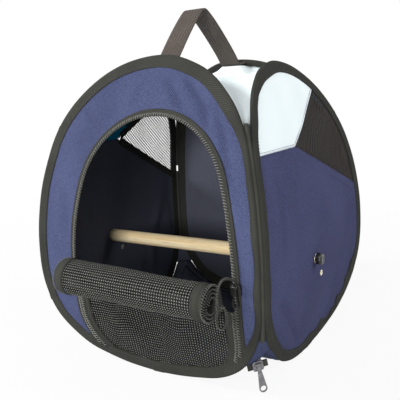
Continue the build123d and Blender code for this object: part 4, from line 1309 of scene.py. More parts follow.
@dataclass
class BoundEdges:
    """Folded tape round each wall, with its spring wire and its stitches."""
    shop: Workshop
    width: float = 12.0
    half: float = 2.2
    wire: tuple[float, float] = (0.95, 4.55)
    profile: tuple[tuple[float, float], ...] = (
        (12.0, 0.52), (12.05, 1.05), (11.5, 1.28), (9.6, 1.35), (7.4, 1.62), (5.2, 2.05), (3.2, 2.2),
        (1.7, 2.05),
        (0.7, 1.55), (0.15, 0.8))

    def build(self) -> None:
        """Builds the four bound edges and the lacing that joins them at the corners."""
        for side in Side:
            self.edge(side, WALLS[side])
        self.corners()

    def corners(self) -> None:
        """Whip-stitched seams between neighbouring tapes; one has a short open place."""
        wall = WALLS[Side.FRONT]
        lines, outs = [], []
        for quarter, name in enumerate(("front right", "back right", "back left", "front left")):
            turn = math.radians(90 * quarter - 45)
            away = np.array([math.cos(turn), math.sin(turn), 0.0])
            spans = ((0.060, 0.167), (0.174, 0.248)) if name == "back left" else ((0.060, 0.246),)
            for low, high in spans:
                z = np.arange(low, high, 2.5 * MM)
                reach = (2 * wall.out(z) - wall.trim) / math.sqrt(2) - 1.9 * MM
                lines.append(SLUMP(away * reach[:, None] + np.stack([z * 0, z * 0, z], axis=1)))
                outs.append(np.tile(away, (len(z), 1)))
        core = self.shop.strands.grow("corner_seam_cores", guide(lines), TAPE,
                                      {"Radius": 2.0 * MM, "Sides": 10})
        dress(core)
        lace = self.shop.coils.grow("corner_seam_lacing", guide(lines, outs), TAPE, {
            "Pitch": 2.4 * MM, "Width": 5.0 * MM, "Height": 3.8 * MM, "Wire": 0.4 * MM})
        dress(lace)

    @staticmethod
    def folded(side: Side, wall: WallShape, depth: float) -> Line:
        """The line at a depth across the tape: slimmer beside the door, fuller at a low corner."""
        line = wall.outline(depth * MM)
        z = line[:, 1]
        if side is Side.FRONT:
            share = -0.50 * smooth(z, 0.040, 0.075) * (1 - smooth(z, 0.225, 0.255)) * (line[:, 0] > 0)
        elif side is Side.RIGHT:
            share = 0.6 * smooth(line[:, 0], -0.03,
                                 0.03) * (1 - smooth(z, 0.05, 0.09)) - 0.27 * smooth(z, 0.055, 0.1) * (
                1 - smooth(z, 0.262, 0.288)) * (line[:, 0] < 0)
        else:
            return line
        return line + (wall.outline((depth + 1.0) * MM) - line) * (share * depth)[:, None]

    def edge(self, side: Side, wall: WallShape) -> None:
        """Builds one wall's tape, wire and stitches."""
        name = side.name.lower()
        ring = [*self.profile, *[(d, -w) for d, w in reversed(self.profile)]]
        base = wall.outline(0.0)
        run = travelled(np.vstack([base, base[:1]]))[:-1]
        rough = smooth(base[:, 0], -0.03, 0.03) * (1 - smooth(base[:, 1], 0.05, 0.09)) * (side is Side.RIGHT)
        wavy = ripple(np.stack([run, run * 0], 1), 60 + side.value, 0.05) * (0.3 + 0.9 * rough) + ripple(
            np.stack([run, run * 0], 1), 66, 0.022) * 0.8 * rough
        lap = smooth(0.0075 - np.abs(run - 0.006), 0, 0.0012)
        rows = []
        for depth, lift in ring:
            flat = self.folded(side, wall, depth)
            pucker = ripple(np.stack([run, np.full(len(run), depth * MM)], 1), 50 + side.value, 0.017,
                            (1, 2)) * 0.16
            rippled = lift + np.sign(lift) * (pucker * (1 + 2.5 * rough) * smooth(depth, 0.5, 6.0) + lap *
                                              0.45)
            flat = flat + (wall.outline(depth * MM + 1.0 * MM) - flat) * wavy[:, None]
            rows.append(wall.lay(flat, rippled * MM))
        points = np.stack(rows, axis=1)
        tape = woven_grid(name + "_bound_edge", points, [TAPE], wrap=(True, True))
        dress(tape, stands_for=[name + "_edge_binding"])
        strip = [(self.wire[0], 0.9), (self.wire[1], 0.9), (self.wire[1], -0.9), (self.wire[0], -0.9)]
        hoop = np.stack([wall.lay(wall.outline(d * MM), w * MM) for d, w in strip], axis=1)
        dress(woven_grid(name + "_spring_hoop", hoop, [STEEL], wrap=(True, True)),
              stands_for=[name + "_hoop_wire"])
        seam = self.folded(side, wall, 10.3)
        seam = np.vstack([seam, seam[:1]])
        self.shop.stitch(name + "_edge_stitches", [wall.lay(seam, 1.42 * MM), wall.lay(seam, -1.42 * MM)],
                         SEWING, pitch=3.2)


# ---------------------------------------------------------------- the door
@dataclass
class FrontDoor:
    """The arch of zip, the standing half of the mesh door, and its rolled half."""
    shop: Workshop
    pitch: float = 2.6 * MM
    split: float = 1.6 * MM
    tape: tuple[float, float] = (0.1 * MM, 6.8 * MM)
    hem: tuple[float, float] = (0.3 * MM, 10.6 * MM)
    axis: tuple[float, float] = (-0.1568, 0.101)
    roll_left: float = -0.071
    roll_right: float = 0.097
    tilt: float = 0.020
    turns: float = 3.5
    path_kept: tuple = ()

    def strip(self, name: str, near: float, far: float, held: Callable[[Line], np.ndarray], lift: float,
              finish: Finish, crown: float = 0.0) -> bpy.types.Object:
        """A tape that follows the arch between two insets.

        Args:
            name: the piece's name.
            near: inset of one edge.
            far: inset of the other edge.
            held: which of the arch's points it covers.
            lift: height of its middle surface over the wall's.
            finish: its finish.
            crown: how much its middle stands prouder.
        Returns:
            The piece, without its thickness.
        """
        wall = WALLS[Side.FRONT]
        columns = []
        mask = held(ARCH.outline(max(near, far)))
        for k in range(5):
            flat = ARCH.outline(near + (far - near) * k / 4)[mask]
            bump = crown * math.sin(math.pi * k / 4)
            columns.append(wall.lay(flat, lift + bump + ripple(flat, 71, 0.03) * 0.12 * MM))
        return woven_grid(name, np.stack(columns, axis=1), [finish])

    @staticmethod
    def above(height: float, inset: float) -> Callable[[Line], np.ndarray]:
        """Covers what lies above the bound edge at the bottom."""
        border = WALLS[Side.FRONT].outline(inset)
        return lambda p: (p[:, 1] > height) & inside(p, border)

    def arch(self) -> None:
        """The half of the zip that is sewn to the wall, all round the door."""
        wall = WALLS[Side.FRONT]
        held = self.above(0.005, 9.0 * MM)
        tape = thicken(self.strip("door_arch_tape", -self.tape[0], -self.tape[1], held, 0.75 * MM, ZIP_TAPE,
                                  0.2 * MM), 0.7 * MM)
        dress(tape, stands_for=["door_opening_zip"])
        line = ARCH.outline(-self.split)
        line = line[held(line)]
        self.shop.coil("door_arch_coil", [wall.lay(line, 1.5 * MM)], [wall.normal(line)])
        rows = []
        for inset in (-6.1 * MM, -3.6 * MM):
            row = ARCH.outline(inset)
            rows.append(wall.lay(row[held(row)], 1.25 * MM))
        self.shop.stitch("door_arch_stitches", rows, SEWING, pitch=2.6, radius=0.24)

    def standing(self) -> None:
        """The part of the door that is still zipped up, below the fold."""
        wall = WALLS[Side.FRONT]
        border = wall.outline(9.0 * MM)
        region = Region((ARCH.outline(8.5 * MM), border, np.array([(-0.2, -0.1), (0.2, -0.1), (0.2, 0.0882),
                                                                  (-0.2, 0.0882)])))

        def sagging(p: Line) -> Line:
            """Waves that the loose net shows."""
            wave = np.stack([ripple(p, 81, 0.06), ripple(p, 82, 0.05)], 1) * (1.6, 2.0)
            return p + wave * smooth(0.088 - p[:, 1], 0.0, 0.03)[:, None] * MM

        lines, runs = cross_threads(region, self.pitch, 4.2 * MM, 0.0, sagging)
        middle = ARCH.middle
        laid = []
        for p in lines:
            slack = smooth(0.088 - p[:, 1], 0.0, 0.035) * smooth(0.080 - np.abs(p[:, 0] - middle), 0, 0.03)
            laid.append(wall.lay(p, ((ripple(p, 83, 0.055) * 1.9 - 1.7) * slack) * MM))
        net = self.shop.net("door_standing_net", laid, runs, NET)
        dress(net, stands_for=["door_screen"], held="stretched", cut=region.area())
        below = np.array([(-0.2, -0.1), (0.2, -0.1), (0.2, 0.0875), (-0.2, 0.0875)])
        for side, sign in (("left", -1), ("right", 1)):
            def held(p: Line, s: int = sign) -> np.ndarray:
                """The leg on one side, below the fold."""
                return inside(p, border) & inside(p, below) & ((p[:, 0] - middle) * s > 0)
            tape = thicken(self.strip(side + "_door_hem", self.hem[0], self.hem[1], held, 0.55 * MM, ZIP_TAPE,
                                      0.3 * MM), 0.9 * MM)
            dress(tape, stands_for=[side + "_door_zip"])
            line = ARCH.outline(self.split)
            line = line[held(line)]
            self.shop.coil(side + "_door_coil", [wall.lay(line, 1.5 * MM)], [wall.normal(line)])
            row = ARCH.outline(9.4 * MM)
            row = row[held(row)]
            other = ARCH.outline(5.0 * MM)
            other = other[held(other)]
            self.shop.stitch(side + "_door_hem_stitches",
                             [wall.lay(row, 1.3 * MM), wall.lay(other, 1.4 * MM)],
                             SEWING, pitch=2.6, radius=0.24)

    def path(self) -> tuple[Line, Line]:
        """The rolled cloth's line seen from the side, and the direction out of its face, at even steps."""
        web = [(-0.1321, 0.0874), (-0.1352, 0.0884), (-0.1385, 0.0912), (-0.1402, 0.0962)]
        angles = np.linspace(0, self.turns * TURN, 330)
        radii = np.interp(angles / math.pi, [0, 0.5, 1, 1.5, 2, 3, 4, 5, 6, 7],
                          np.array([16.4, 16.4, 16.1, 15.4, 14.2, 12.7, 11.0, 9.3, 7.4, 5.0]) * MM)
        spiral = np.stack([self.axis[0] + radii * np.cos(angles), self.axis[1] + radii * np.sin(angles)],
                          axis=1)
        line = respaced(np.vstack([web, spiral]), 1.3 * MM)
        ahead = np.gradient(line, axis=0)
        ahead /= np.linalg.norm(ahead, axis=1)[:, None]
        return line, np.stack([ahead[:, 1], -ahead[:, 0]], axis=1)

    def wound(self, x: Any, place: Any, lift: Any = 0.0) -> Line:
        """Points on the rolled door.

        Args:
            x: places across the carrier.
            place: length along the rolled cloth from its fold.
            lift: distance out of the cloth's face.
        Returns:
            The points, one for each x and place.
        """
        line, out = self.path_kept
        run = travelled(line)
        x, place, lift = (np.broadcast_to(np.asarray(v, float), np.broadcast_shapes(
            np.shape(x), np.shape(place), np.shape(lift))) for v in (x, place, lift))
        y, z = (np.interp(place, run, line[:, k]) + np.interp(place, run, out[:, k]) * lift for k in (0, 1))
        loose = smooth(place, 0.004, 0.02)
        across = np.stack([x, place * 0.6], axis=-1).reshape(-1, 2)
        swell = (ripple(across, 91, 0.07, (1, 0.6)) * 0.45 * MM).reshape(np.shape(x)) * loose
        span = (self.roll_right - self.roll_left)
        share = (x - self.roll_left) / span
        y0, z0 = y - self.axis[0], z - self.axis[1]
        size = 1 + (swell / (16 * MM)) + loose * (0.03 - 0.07 * share)
        y = np.where(loose > 0, self.axis[0] + y0 * size * loose + y0 * (1 - loose), y)
        z = np.where(loose > 0, self.axis[1] + z0 * size * loose + z0 * (1 - loose), z)
        z = z - (x - 0.01) * self.tilt * loose
        return np.stack([x, y, z], axis=-1)

    def rolled(self) -> None:
        """The net wound into a roll, its hems at both ends, and the coils on their edges."""
        self.path_kept = self.path()
        total = travelled(self.path_kept[0])[-1]
        left, right = self.roll_left, self.roll_right
        shown = min(total, 0.165)
        lines, runs = [], []
        for x in np.arange(left + 8 * MM, right - 7 * MM, self.pitch):
            at = np.arange(0, shown, 2.1 * MM)
            narrow = np.interp(at, [0, 0.012, 0.02], [0.96, 0.98, 1.0])
            lines.append(self.wound(0.0105 + (x - 0.0105) * narrow, at))
            runs.append(at / self.pitch)
        for place in np.arange(0.3 * MM, shown, self.pitch):
            xs = np.linspace(left + 7 * MM, right - 7 * MM, 27)
            narrow = np.interp(place, [0, 0.012, 0.02], [0.96, 0.98, 1.0])
            lines.append(self.wound(0.0105 + (xs - 0.0105) * narrow, place))
            runs.append((xs - left - 8 * MM) / self.pitch)
        net = self.shop.net("door_rolled_net", lines, runs, NET)
        dress(net, "door_roll", stands_for=["door_roll"], held="folded",
              cut=(right - left - 15 * MM) * shown)
        at = np.arange(6 * MM, total, 1.6 * MM)
        for side, edge, sign in (("left", left, 1), ("right", right, -1)):
            across = np.array([1.9, 3.1, 4.2, 4.9, 5.3, 7.2, 10.4, 12.2, 12.5]) * MM
            lift = np.array([0.1, 0.25, 0.35, 0.55, 0.95, 1.15, 1.15, 0.95, 0.4]) * MM
            grid = np.stack([self.wound(edge + sign * a, at, h) for a, h in zip(across, lift)], axis=1)
            hem = woven_grid(side + "_roll_hem", grid, [ZIP_TAPE])
            if sign < 0:
                hem.data.flip_normals()
            dress(thicken(hem, 0.9 * MM, -1.0), "door_roll")
            line, out = self.path_kept
            run = travelled(line)
            facing = np.stack([at * 0, np.interp(at, run, out[:, 0]), np.interp(at, run, out[:, 1])], axis=1)
            self.shop.coil(side + "_roll_coil", [self.wound(edge + sign * 1.0 * MM, at, 0.1 * MM)], [facing],
                           "door_roll", 2.4, 1.5, 2.4, DARK_COIL)
            self.shop.stitch(side + "_roll_stitches", [self.wound(edge + sign * 11.0 * MM, at, 1.5 * MM)],
                             SEWING,
                             "zip_tape", "door_roll", 2.6, 0.24)

    def loose_end(self) -> None:
        """The free end of the door's zip, which comes out of the right slider and curls beside the roll."""
        route = eased(np.array([(0.1075, -0.1355, 0.1140), (0.1040, -0.1420, 0.1190),
                                (0.1030, -0.1520, 0.1185),
                                (0.1050, -0.1610, 0.1110), (0.1080, -0.1650, 0.1000),
                                (0.1065, -0.1655, 0.0900),
                                (0.1078, -0.1650, 0.0830), (0.1110, -0.1630, 0.0835),
                                (0.1128, -0.1620, 0.0900),
                                (0.1125, -0.1620, 0.0980), (0.1105, -0.1630, 0.1020),
                                (0.1082, -0.1640, 0.0975)]),
                      1.0 * MM)
        ahead = np.gradient(route, axis=0)
        ahead /= np.linalg.norm(ahead, axis=1)[:, None]
        side = np.cross(ahead, np.array([-0.54, 0.84, 0.0]))
        side /= np.linalg.norm(side, axis=1)[:, None]
        width = np.cross(side, ahead)
        grid = np.stack([route + width * w * MM for w in (-1.6, -0.5, 0.6, 1.7)], axis=1)
        tape = thicken(woven_grid("loose_zip_tape", grid, [ZIP_TAPE]), 0.8 * MM)
        dress(tape, "door_roll")
        self.shop.coil("loose_zip_coil", [route - side * 0.9 * MM], [side], "door_roll", 2.0, 1.4, 2.2,
                       DARK_COIL)

    def metal(self) -> None:
        """The two sliders and their pullers, with softened edges."""
        for side in ("left", "right"):
            softened(side + "_door_slider", BLACK_METAL, side + "_door_slider", 0.35)
            softened(side + "_door_puller", BLACK_METAL, side + "_door_puller", 0.3)

    def build(self) -> None:
        """Builds the whole door."""
        self.arch()
        self.standing()
        self.rolled()
        self.loose_end()
        self.metal()


def softened(node: str, finish: Finish, body: str, width: float) -> bpy.types.Object:
    """A cast part with its sharp edges rounded.

    Args:
        node: the CAD node that it is made from and stands for.
        finish: its finish.
        body: the body it rides on.
        width: of the rounded edges, in millimetres.
    Returns:
        The piece.
    """
    mesh = bpy.data.meshes.new(node + "_cast")
    work = bmesh.new()
    work.from_mesh(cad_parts[node].data)
    bmesh.ops.remove_doubles(work, verts=work.verts, dist=2e-6)
    bmesh.ops.dissolve_limit(work, angle_limit=math.radians(1.0), verts=work.verts, edges=work.edges)
    sharp = [e for e in work.edges if len(e.link_faces) == 2 and e.calc_face_angle() > math.radians(40)]
    bmesh.ops.bevel(work, geom=sharp, offset=width * MM, offset_type="OFFSET", segments=2, profile=0.6,
                    affect="EDGES", clamp_overlap=True)
    bmesh.ops.triangulate(work, faces=[f for f in work.faces if len(f.verts) > 4])
    work.to_mesh(mesh)
    work.free()
    mesh.materials.clear()
    mesh.materials.append(finish.material())
    mesh.polygons.foreach_set("use_smooth", np.ones(len(mesh.polygons), bool))
    mesh.polygons.foreach_set("material_index", np.zeros(len(mesh.polygons), np.int32))
    mesh.set_sharp_from_angle(angle=math.radians(35))
    piece = bpy.data.objects.new(node + "_cast", mesh)
    bpy.context.scene.collection.objects.link(piece)
    return dress(piece, body, [node])


# ---------------------------------------------------------------- perch and eyelets
@dataclass
class PerchSet:
    """The rod, its two knobs, the eyelets they pass, and the spare eyelets below."""
    radius: float = 7.5
    height: float = 0.105
    forward: float = -0.015
    half: float = 131.48
    seat: float = 134.26
    spare: tuple[float, float] = (0.002, 0.085)

    def build(self) -> None:
        """Builds the rod, the knobs and the eyelets."""
        end = [(-self.half, 0.0), (-self.half, 5.4), (-self.half + 0.35, 6.5), (-self.half + 1.1, 7.2),
               (-self.half + 2.2, 7.5)]
        middle = [(h, 7.5) for h in np.linspace(-self.half + 12, self.half - 12, 22)]
        profile = [*end, *middle, *[(-h, r) for h, r in reversed(end)]]
        rod = turned("perch_rod", [(h * MM, r * MM) for h, r in profile], (0, self.forward, self.height),
                     (1, 0, 0),
                     WOOD, 48)
        dress(rod, stands_for=["perch"])
        knob = [(0.0, 0.0), (0.0, 5.3), (0.4, 5.9), (1.2, 6.0), (4.6, 6.0), (5.9, 5.6), (6.6, 4.7),
                (6.9, 3.6),
                (6.6, 2.6), (6.5, 0.0)]
        screw = [(-16.0, 0.0), (-16.0, 1.6), (-15.6, 2.0), (0.0, 2.0), (0.0, 0.0)]
        ring = [(-1.4, 2.5), (-1.4, 4.9), (-1.15, 5.2), (-0.75, 5.1), (-0.6, 4.4), (-0.6, 3.1), (0.6, 3.1),
                (0.6, 4.4),
                (0.75, 5.1), (1.15, 5.2), (1.4, 4.9), (1.4, 2.5)]
        small = [(-1.1, 1.55), (-1.1, 2.9), (-0.75, 3.1), (-0.5, 2.9), (-0.5, 1.7), (0.5, 1.7), (0.5, 2.9),
                 (0.75, 3.1),
                 (1.1, 2.9), (1.1, 1.55)]
        for side, sign in (("left", -1), ("right", 1)):
            wall = WALLS[Side.RIGHT if sign > 0 else Side.LEFT]
            seat = (sign * self.seat * MM, self.forward, self.height)
            body = side + "_perch_knob"
            top = turned(side + "_knob_cap", [(h * MM, r * MM) for h, r in knob], seat, (sign, 0, 0), KNOB,
                         64, 8,
                         0.75 * MM)
            dress(top, body, [body])
            pin = turned(side + "_knob_screw", [(h * MM, r * MM) for h, r in screw], seat, (sign, 0, 0),
                         STEEL, 16)
            dress(pin, body)
            place = (sign * float(wall.out(self.height)), self.forward, self.height)
            eyelet = turned(side + "_eyelet_ring", [(h * MM, r * MM) for h, r in ring], place, (sign, 0, 0),
                            PALE_METAL, 32)
            dress(eyelet, stands_for=[side + "_perch_eyelet"])
            low = float(wall.out(self.spare[1]))
            place = (sign * low, self.spare[0], self.spare[1])
            dress(turned(side + "_spare_eyelet", [(h * MM, r * MM) for h, r in small], place, (sign, 0, 0),
                         PALE_METAL, 24))


# ---------------------------------------------------------------- roof, floor and corners
@dataclass
class RoofAndFloor:
    """The light blue roof, the floor with its flap, the corner gussets and the zip at one corner."""
    shop: Workshop
    flap: float = 0.1075
    gap: float = 0.0005
    hem: float = 0.037
    gusset_top: float = 0.084
    cells: int = 56

    def edge_arc(self, wall: WallShape, upper: bool, inset: float, count: int) -> Line:
        """A wall's top or bottom arc between its two parting points, at even steps.

        Args:
            wall: the wall.
            upper: the top arc rather than the bottom one.
            inset: how far inside the wall's edge it lies.
            count: number of steps.
        Returns:
            Flat places, from the wall's left to its right.
        """
        line = wall.outline(inset, 0.001)
        half = len(line) // 2 + 1
        right = line[:half]
        limit = 0.2405 if upper else self.hem
        part = right[right[:, 1] >= limit] if upper else right[(right[:, 1] <= limit)]
        part = part[::-1] if upper else part
        arc = np.vstack([(part * (-1, 1))[::-1], part[1:]])
        return respaced(arc, travelled(arc)[-1] / count)[: count + 1]

    def membrane(self, upper: bool, inset: float, tuck: float, rounds: int) -> np.ndarray:
        """A sheet stretched between the four walls' arcs.

        Args:
            upper: the roof rather than the floor.
            inset: how far inside the walls' edges it is sewn.
            tuck: how far inside the walls' middle surface it is sewn.
            rounds: how many times it is drawn tight.
        Returns:
            Rows by columns of points.
        """
        n = self.cells
        arcs = {}
        for side in Side:
            wall = WALLS[side]
            arcs[side] = wall.lay(self.edge_arc(wall, upper, inset, n), -tuck)
        grid = np.zeros((n + 1, n + 1, 3))
        t = np.linspace(0, 1, n + 1)[:, None]
        front, right, back, left = (arcs[s] for s in (Side.FRONT, Side.RIGHT, Side.BACK, Side.LEFT))
        back, left = back[::-1], left[::-1]
        for i in range(n + 1):
            v = i / n
            grid[i] = ((1 - v) * front + v * back + (1 - t) * left[i] + t * right[i]) / 2
        grid[0], grid[-1] = front, back
        grid[1:-1, 0], grid[1:-1, -1] = left[1:-1], right[1:-1]
        held = np.zeros((n + 1, n + 1), bool)
        held[0] = held[-1] = held[:, 0] = held[:, -1] = True
        for _ in range(rounds):
            mean = (np.roll(grid, 1, 0) + np.roll(grid, -1, 0) + np.roll(grid, 1, 1) +
                    np.roll(grid, -1, 1)) / 4
            grid = np.where(held[..., None], grid, mean)
        return grid

    def roof(self) -> None:
        """The roof, drawn tight between the four crowns and lifted where the strap is sewn."""
        grid = self.membrane(True, 7.0 * MM, 1.6 * MM, 1600)
        flat = grid[..., :2].reshape(-1, 2)
        grid[..., 2] += (ripple(flat, 101, 0.05) * 0.5 * MM).reshape(grid.shape[:2]) * (
            np.pad(np.ones(np.array(grid.shape[:2]) - 2), 1))
        away = np.hypot(np.maximum(np.abs(grid[..., 0]) - 0.0125, 0), np.maximum(
            np.abs(np.abs(grid[..., 1]) - 0.0715) - 0.0075, 0))
        lifted = np.maximum(grid[..., 2], 0.3016 - 1.2 * away)
        grid[1:-1, 1:-1, 2] = lifted[1:-1, 1:-1]
        piece = woven_grid("roof_cloth", grid, [SKY, SKY_INSIDE_PAINTED_SHADE])
        piece.data.flip_normals()
        thicken(piece, 1.0 * MM)
        dress(piece, stands_for=["roof_panel"], held="stretched")

    def floor_height(self, flat: Line) -> np.ndarray:
        """Height of the floor's middle surface: it follows the walls' bottom arcs and lies flat inside."""
        edge = WALLS[Side.FRONT].outline(0.0, 0.001)
        edge = edge[: int(np.argmax(edge[:, 0]))]
        rise = [np.interp(np.abs(flat[:, k]), edge[:, 0], edge[:, 1]) for k in (0, 1)]
        low, high = np.minimum(*rise), np.maximum(*rise)
        ease = np.maximum(0.004 - (high - low), 0) ** 2 / 0.016
        return np.clip(low - ease, 0.0, self.hem) + 0.7 * MM

    def floor(self) -> None:
        """The floor's rim, which stays on the walls, and the flap that opens on its zip."""
        border = []
        for side in Side:
            flat = self.edge_arc(WALLS[side], False, 0.6 * MM, 60)
            laid = WALLS[side].lay(flat, -1.9 * MM)
            border.append(laid[:, :2])
        outer = respaced(np.vstack(border), 4 * MM, True)
        square = np.array([(-1, -1), (1, -1), (1, 1), (-1, 1)], float)
        inner = respaced(square * self.flap, 4 * MM, True)
        hole = respaced(square * (self.flap + self.gap), 4 * MM, True)

        def creases(p: Line) -> np.ndarray:
            """Folds of the loose floor."""
            return (np.maximum(ripple(p, 111, 0.06, (2, 1)), -0.2) + 0.2) * 2.2 * MM * smooth(
                0.1 - np.abs(p).max(1), 0, 0.03)

        for name, region, body in (("floor_rim", Region((outer,), (hole,)), "carrier"),
                                   ("floor_flap", Region((inner,)), "floor_flap")):
            flat, faces = region.cut(4.5 * MM)
            height = self.floor_height(flat) + creases(flat)
            points = SLUMP(np.column_stack([flat, height]))
            piece = mesh_piece(name + "_cloth", points, faces, [NAVY_LINING_PAINTED_LIGHT, NAVY], uv=flat)
            dress(thicken(piece, 0.9 * MM), body, [name], "laid")
        seam = respaced(square * (self.flap + 3.4 * MM), 3 * MM, True)
        near = respaced(square * (self.flap - 3.0 * MM), 3 * MM, True)
        seam = np.roll(seam, len(seam) // 8, axis=0)
        held = inside(seam, outer * 0.985)
        parts = [p for p in np.split(np.arange(len(seam)),
                                     np.flatnonzero(np.diff(held.astype(int))) + 1) if held[p[0]]]
        rows = [SLUMP(np.column_stack([seam[p], self.floor_height(seam[p]) - 0.62 *
                                       MM])) for p in parts if len(p) > 3]
        self.shop.stitch("floor_rim_stitches", rows, NAVY_SEWING, "navy_cloth")
        near = np.vstack([near, near[:1]])
        rows = [SLUMP(np.column_stack([near, self.floor_height(near) - 0.55 * MM]))]
        self.shop.stitch("floor_flap_stitches", rows, NAVY_SEWING, "navy_cloth", "floor_flap")

    def gussets(self) -> None:
        """A small triangle of cloth in each bottom corner, between two bound edges."""
        wall = WALLS[Side.FRONT]
        line = wall.outline(0.0, 0.001)
        line = line[: len(line) // 2]
        heights = np.linspace(self.hem - 0.008, self.gusset_top, 22)
        order = np.argsort(line[:, 1])
        level = np.maximum(heights, self.hem)
        half = np.interp(level, line[order, 1], line[order, 0])
        out = wall.out(level)
        reach, gap = (half + out) / math.sqrt(2), (out - half) / math.sqrt(2)
        names = ("front_right", "back_right", "back_left", "front_left")
        for k, name in enumerate(names):
            turn = math.radians(90 * k - 45)
            away, aside = np.array([math.cos(turn), math.sin(turn)]), np.array([-math.sin(turn),
                                                                                math.cos(turn)])
            rows = []
            for z, r, g in zip(heights, reach, gap):
                under = max(self.hem - z, 0.0)
                width = max(g + 2.4 * MM * smooth(z, self.hem, self.hem + 0.012) - under, 2.0 * MM)
                share = np.linspace(-1, 1, 9)
                sag = (1 - share ** 2) * g * 0.22 * smooth(z, 0.036, 0.056) + 1.2 * MM
                flat = away * (r - sag - under)[:, None] + aside * (share * width)[:, None]
                lift = 0.4 * MM * np.sin(share * 4 + z * 300)
                rows.append(np.column_stack([flat, np.full(9, z) + lift * (z < 0.04)]))
            piece = woven_grid(name + "_corner_cloth", SLUMP(np.array(rows)), [NAVY, NAVY_LINING_PAINTED_LIGHT])
            piece.data.flip_normals()
            dress(thicken(piece, 1.0 * MM), stands_for=[name + "_gusset"], held="stretched")

    def corner_zip(self) -> None:
        """The short zip that hangs at the front right corner, its slider and its long grey puller."""
        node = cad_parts["base_zip"]
        node.data.materials.clear()
        node.data.materials.append(ZIP_TAPE.material())
        softened("base_slider", GREY_METAL, "base_slider", 0.35)
        softened("base_puller", GREY_METAL, "base_puller", 0.32)

    def build(self) -> None:
        """Builds the roof, the floor, the corners and the corner zip."""
        self.roof()
        self.floor()
        self.gussets()
        self.corner_zip()


# ---------------------------------------------------------------- handle
@dataclass
class Handle:
    """One strap of webbing from the front wall's crown over to the back wall's."""
    shop: Workshop
    width: float = 25.0 * MM
    thick: float = 1.9 * MM

    def centre(self) -> Line:
        """The strap's middle line, from its front end to its back end."""
        return eased(np.array([(0.0, -0.0790, 0.3056), (0.0, -0.0710, 0.3034), (0.0, -0.0645, 0.3038),
                               (0.0, -0.0585, 0.3100), (-0.0003, -0.0400, 0.3306), (-0.0006, -0.0235, 0.3466),
                               (-0.0006, -0.0118, 0.3570), (-0.0004, -0.0070, 0.3592), (0.0, -0.0018, 0.3572),
                               (0.0005, 0.0120, 0.3480), (0.0005, 0.0360, 0.3295), (0.0, 0.0575, 0.3118),
                               (0.0, 0.0640, 0.3040), (0.0, 0.0710, 0.3034), (0.0, 0.0790, 0.3056)]),
                     1.6 * MM)

    def build(self) -> None:
        """Builds the strap, its sewn ends and their stitches."""
        line = self.centre()
        ahead = np.gradient(line, axis=0)
        ahead /= np.linalg.norm(ahead, axis=1)[:, None]
        across = np.tile(np.array([1.0, 0.0, 0.0]), (len(line), 1))
        out = np.cross(across, ahead)
        out /= np.linalg.norm(out, axis=1)[:, None]
        rows = []
        half, thin = self.width / 2, self.thick / 2
        edge = [(1.0, 0.0), (0.985, 0.55), (0.94, 0.9), (0.6, 1.0), (0.2, 1.0), (-0.2, 1.0), (-0.6, 1.0),
                (-0.94, 0.9), (-0.985, 0.55)]
        ring = [*edge, *[(-s, -t) for s, t in edge]]
        for s, t in ring:
            rows.append(line + across * s * half + out * t * thin)
        points = np.stack(rows, axis=1)
        strap = woven_grid("strap", points, [STRAP_WEB], wrap=(False, True), caps=True)
        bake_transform(strap)
        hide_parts("handle_strap", "handle_front_foot", "handle_back_foot", "handle_front_patch",
                    "handle_back_patch")
        dress(strap, "")
        run = travelled(line)
        seams = []
        for first, last in ((0.0012, 0.0125), (run[-1] - 0.0125, run[-1] - 0.0012)):
            box = [(first, -0.8), (last, -0.8), (last, 0.8), (first, 0.8), (first, -0.8)]
            for loop in (box, [(first, -0.8), (last, 0.8)], [(first, 0.8), (last, -0.8)]):
                flat = respaced(np.array(loop) * (1, half), 1 * MM) / (1, half)
                at = [np.interp(flat[:, 0], run, line[:, k]) for k in range(3)]
                up = [np.interp(flat[:, 0], run, out[:, k]) for k in range(3)]
                place = np.stack(at, axis=1) + np.stack(up, axis=1) * (thin + 0.1 * MM)
                place[:, 0] += flat[:, 1] * half
                seams.append(place)
        self.shop.stitch("strap_box_stitches", seams, SEWING, "webbing", pitch=2.4)


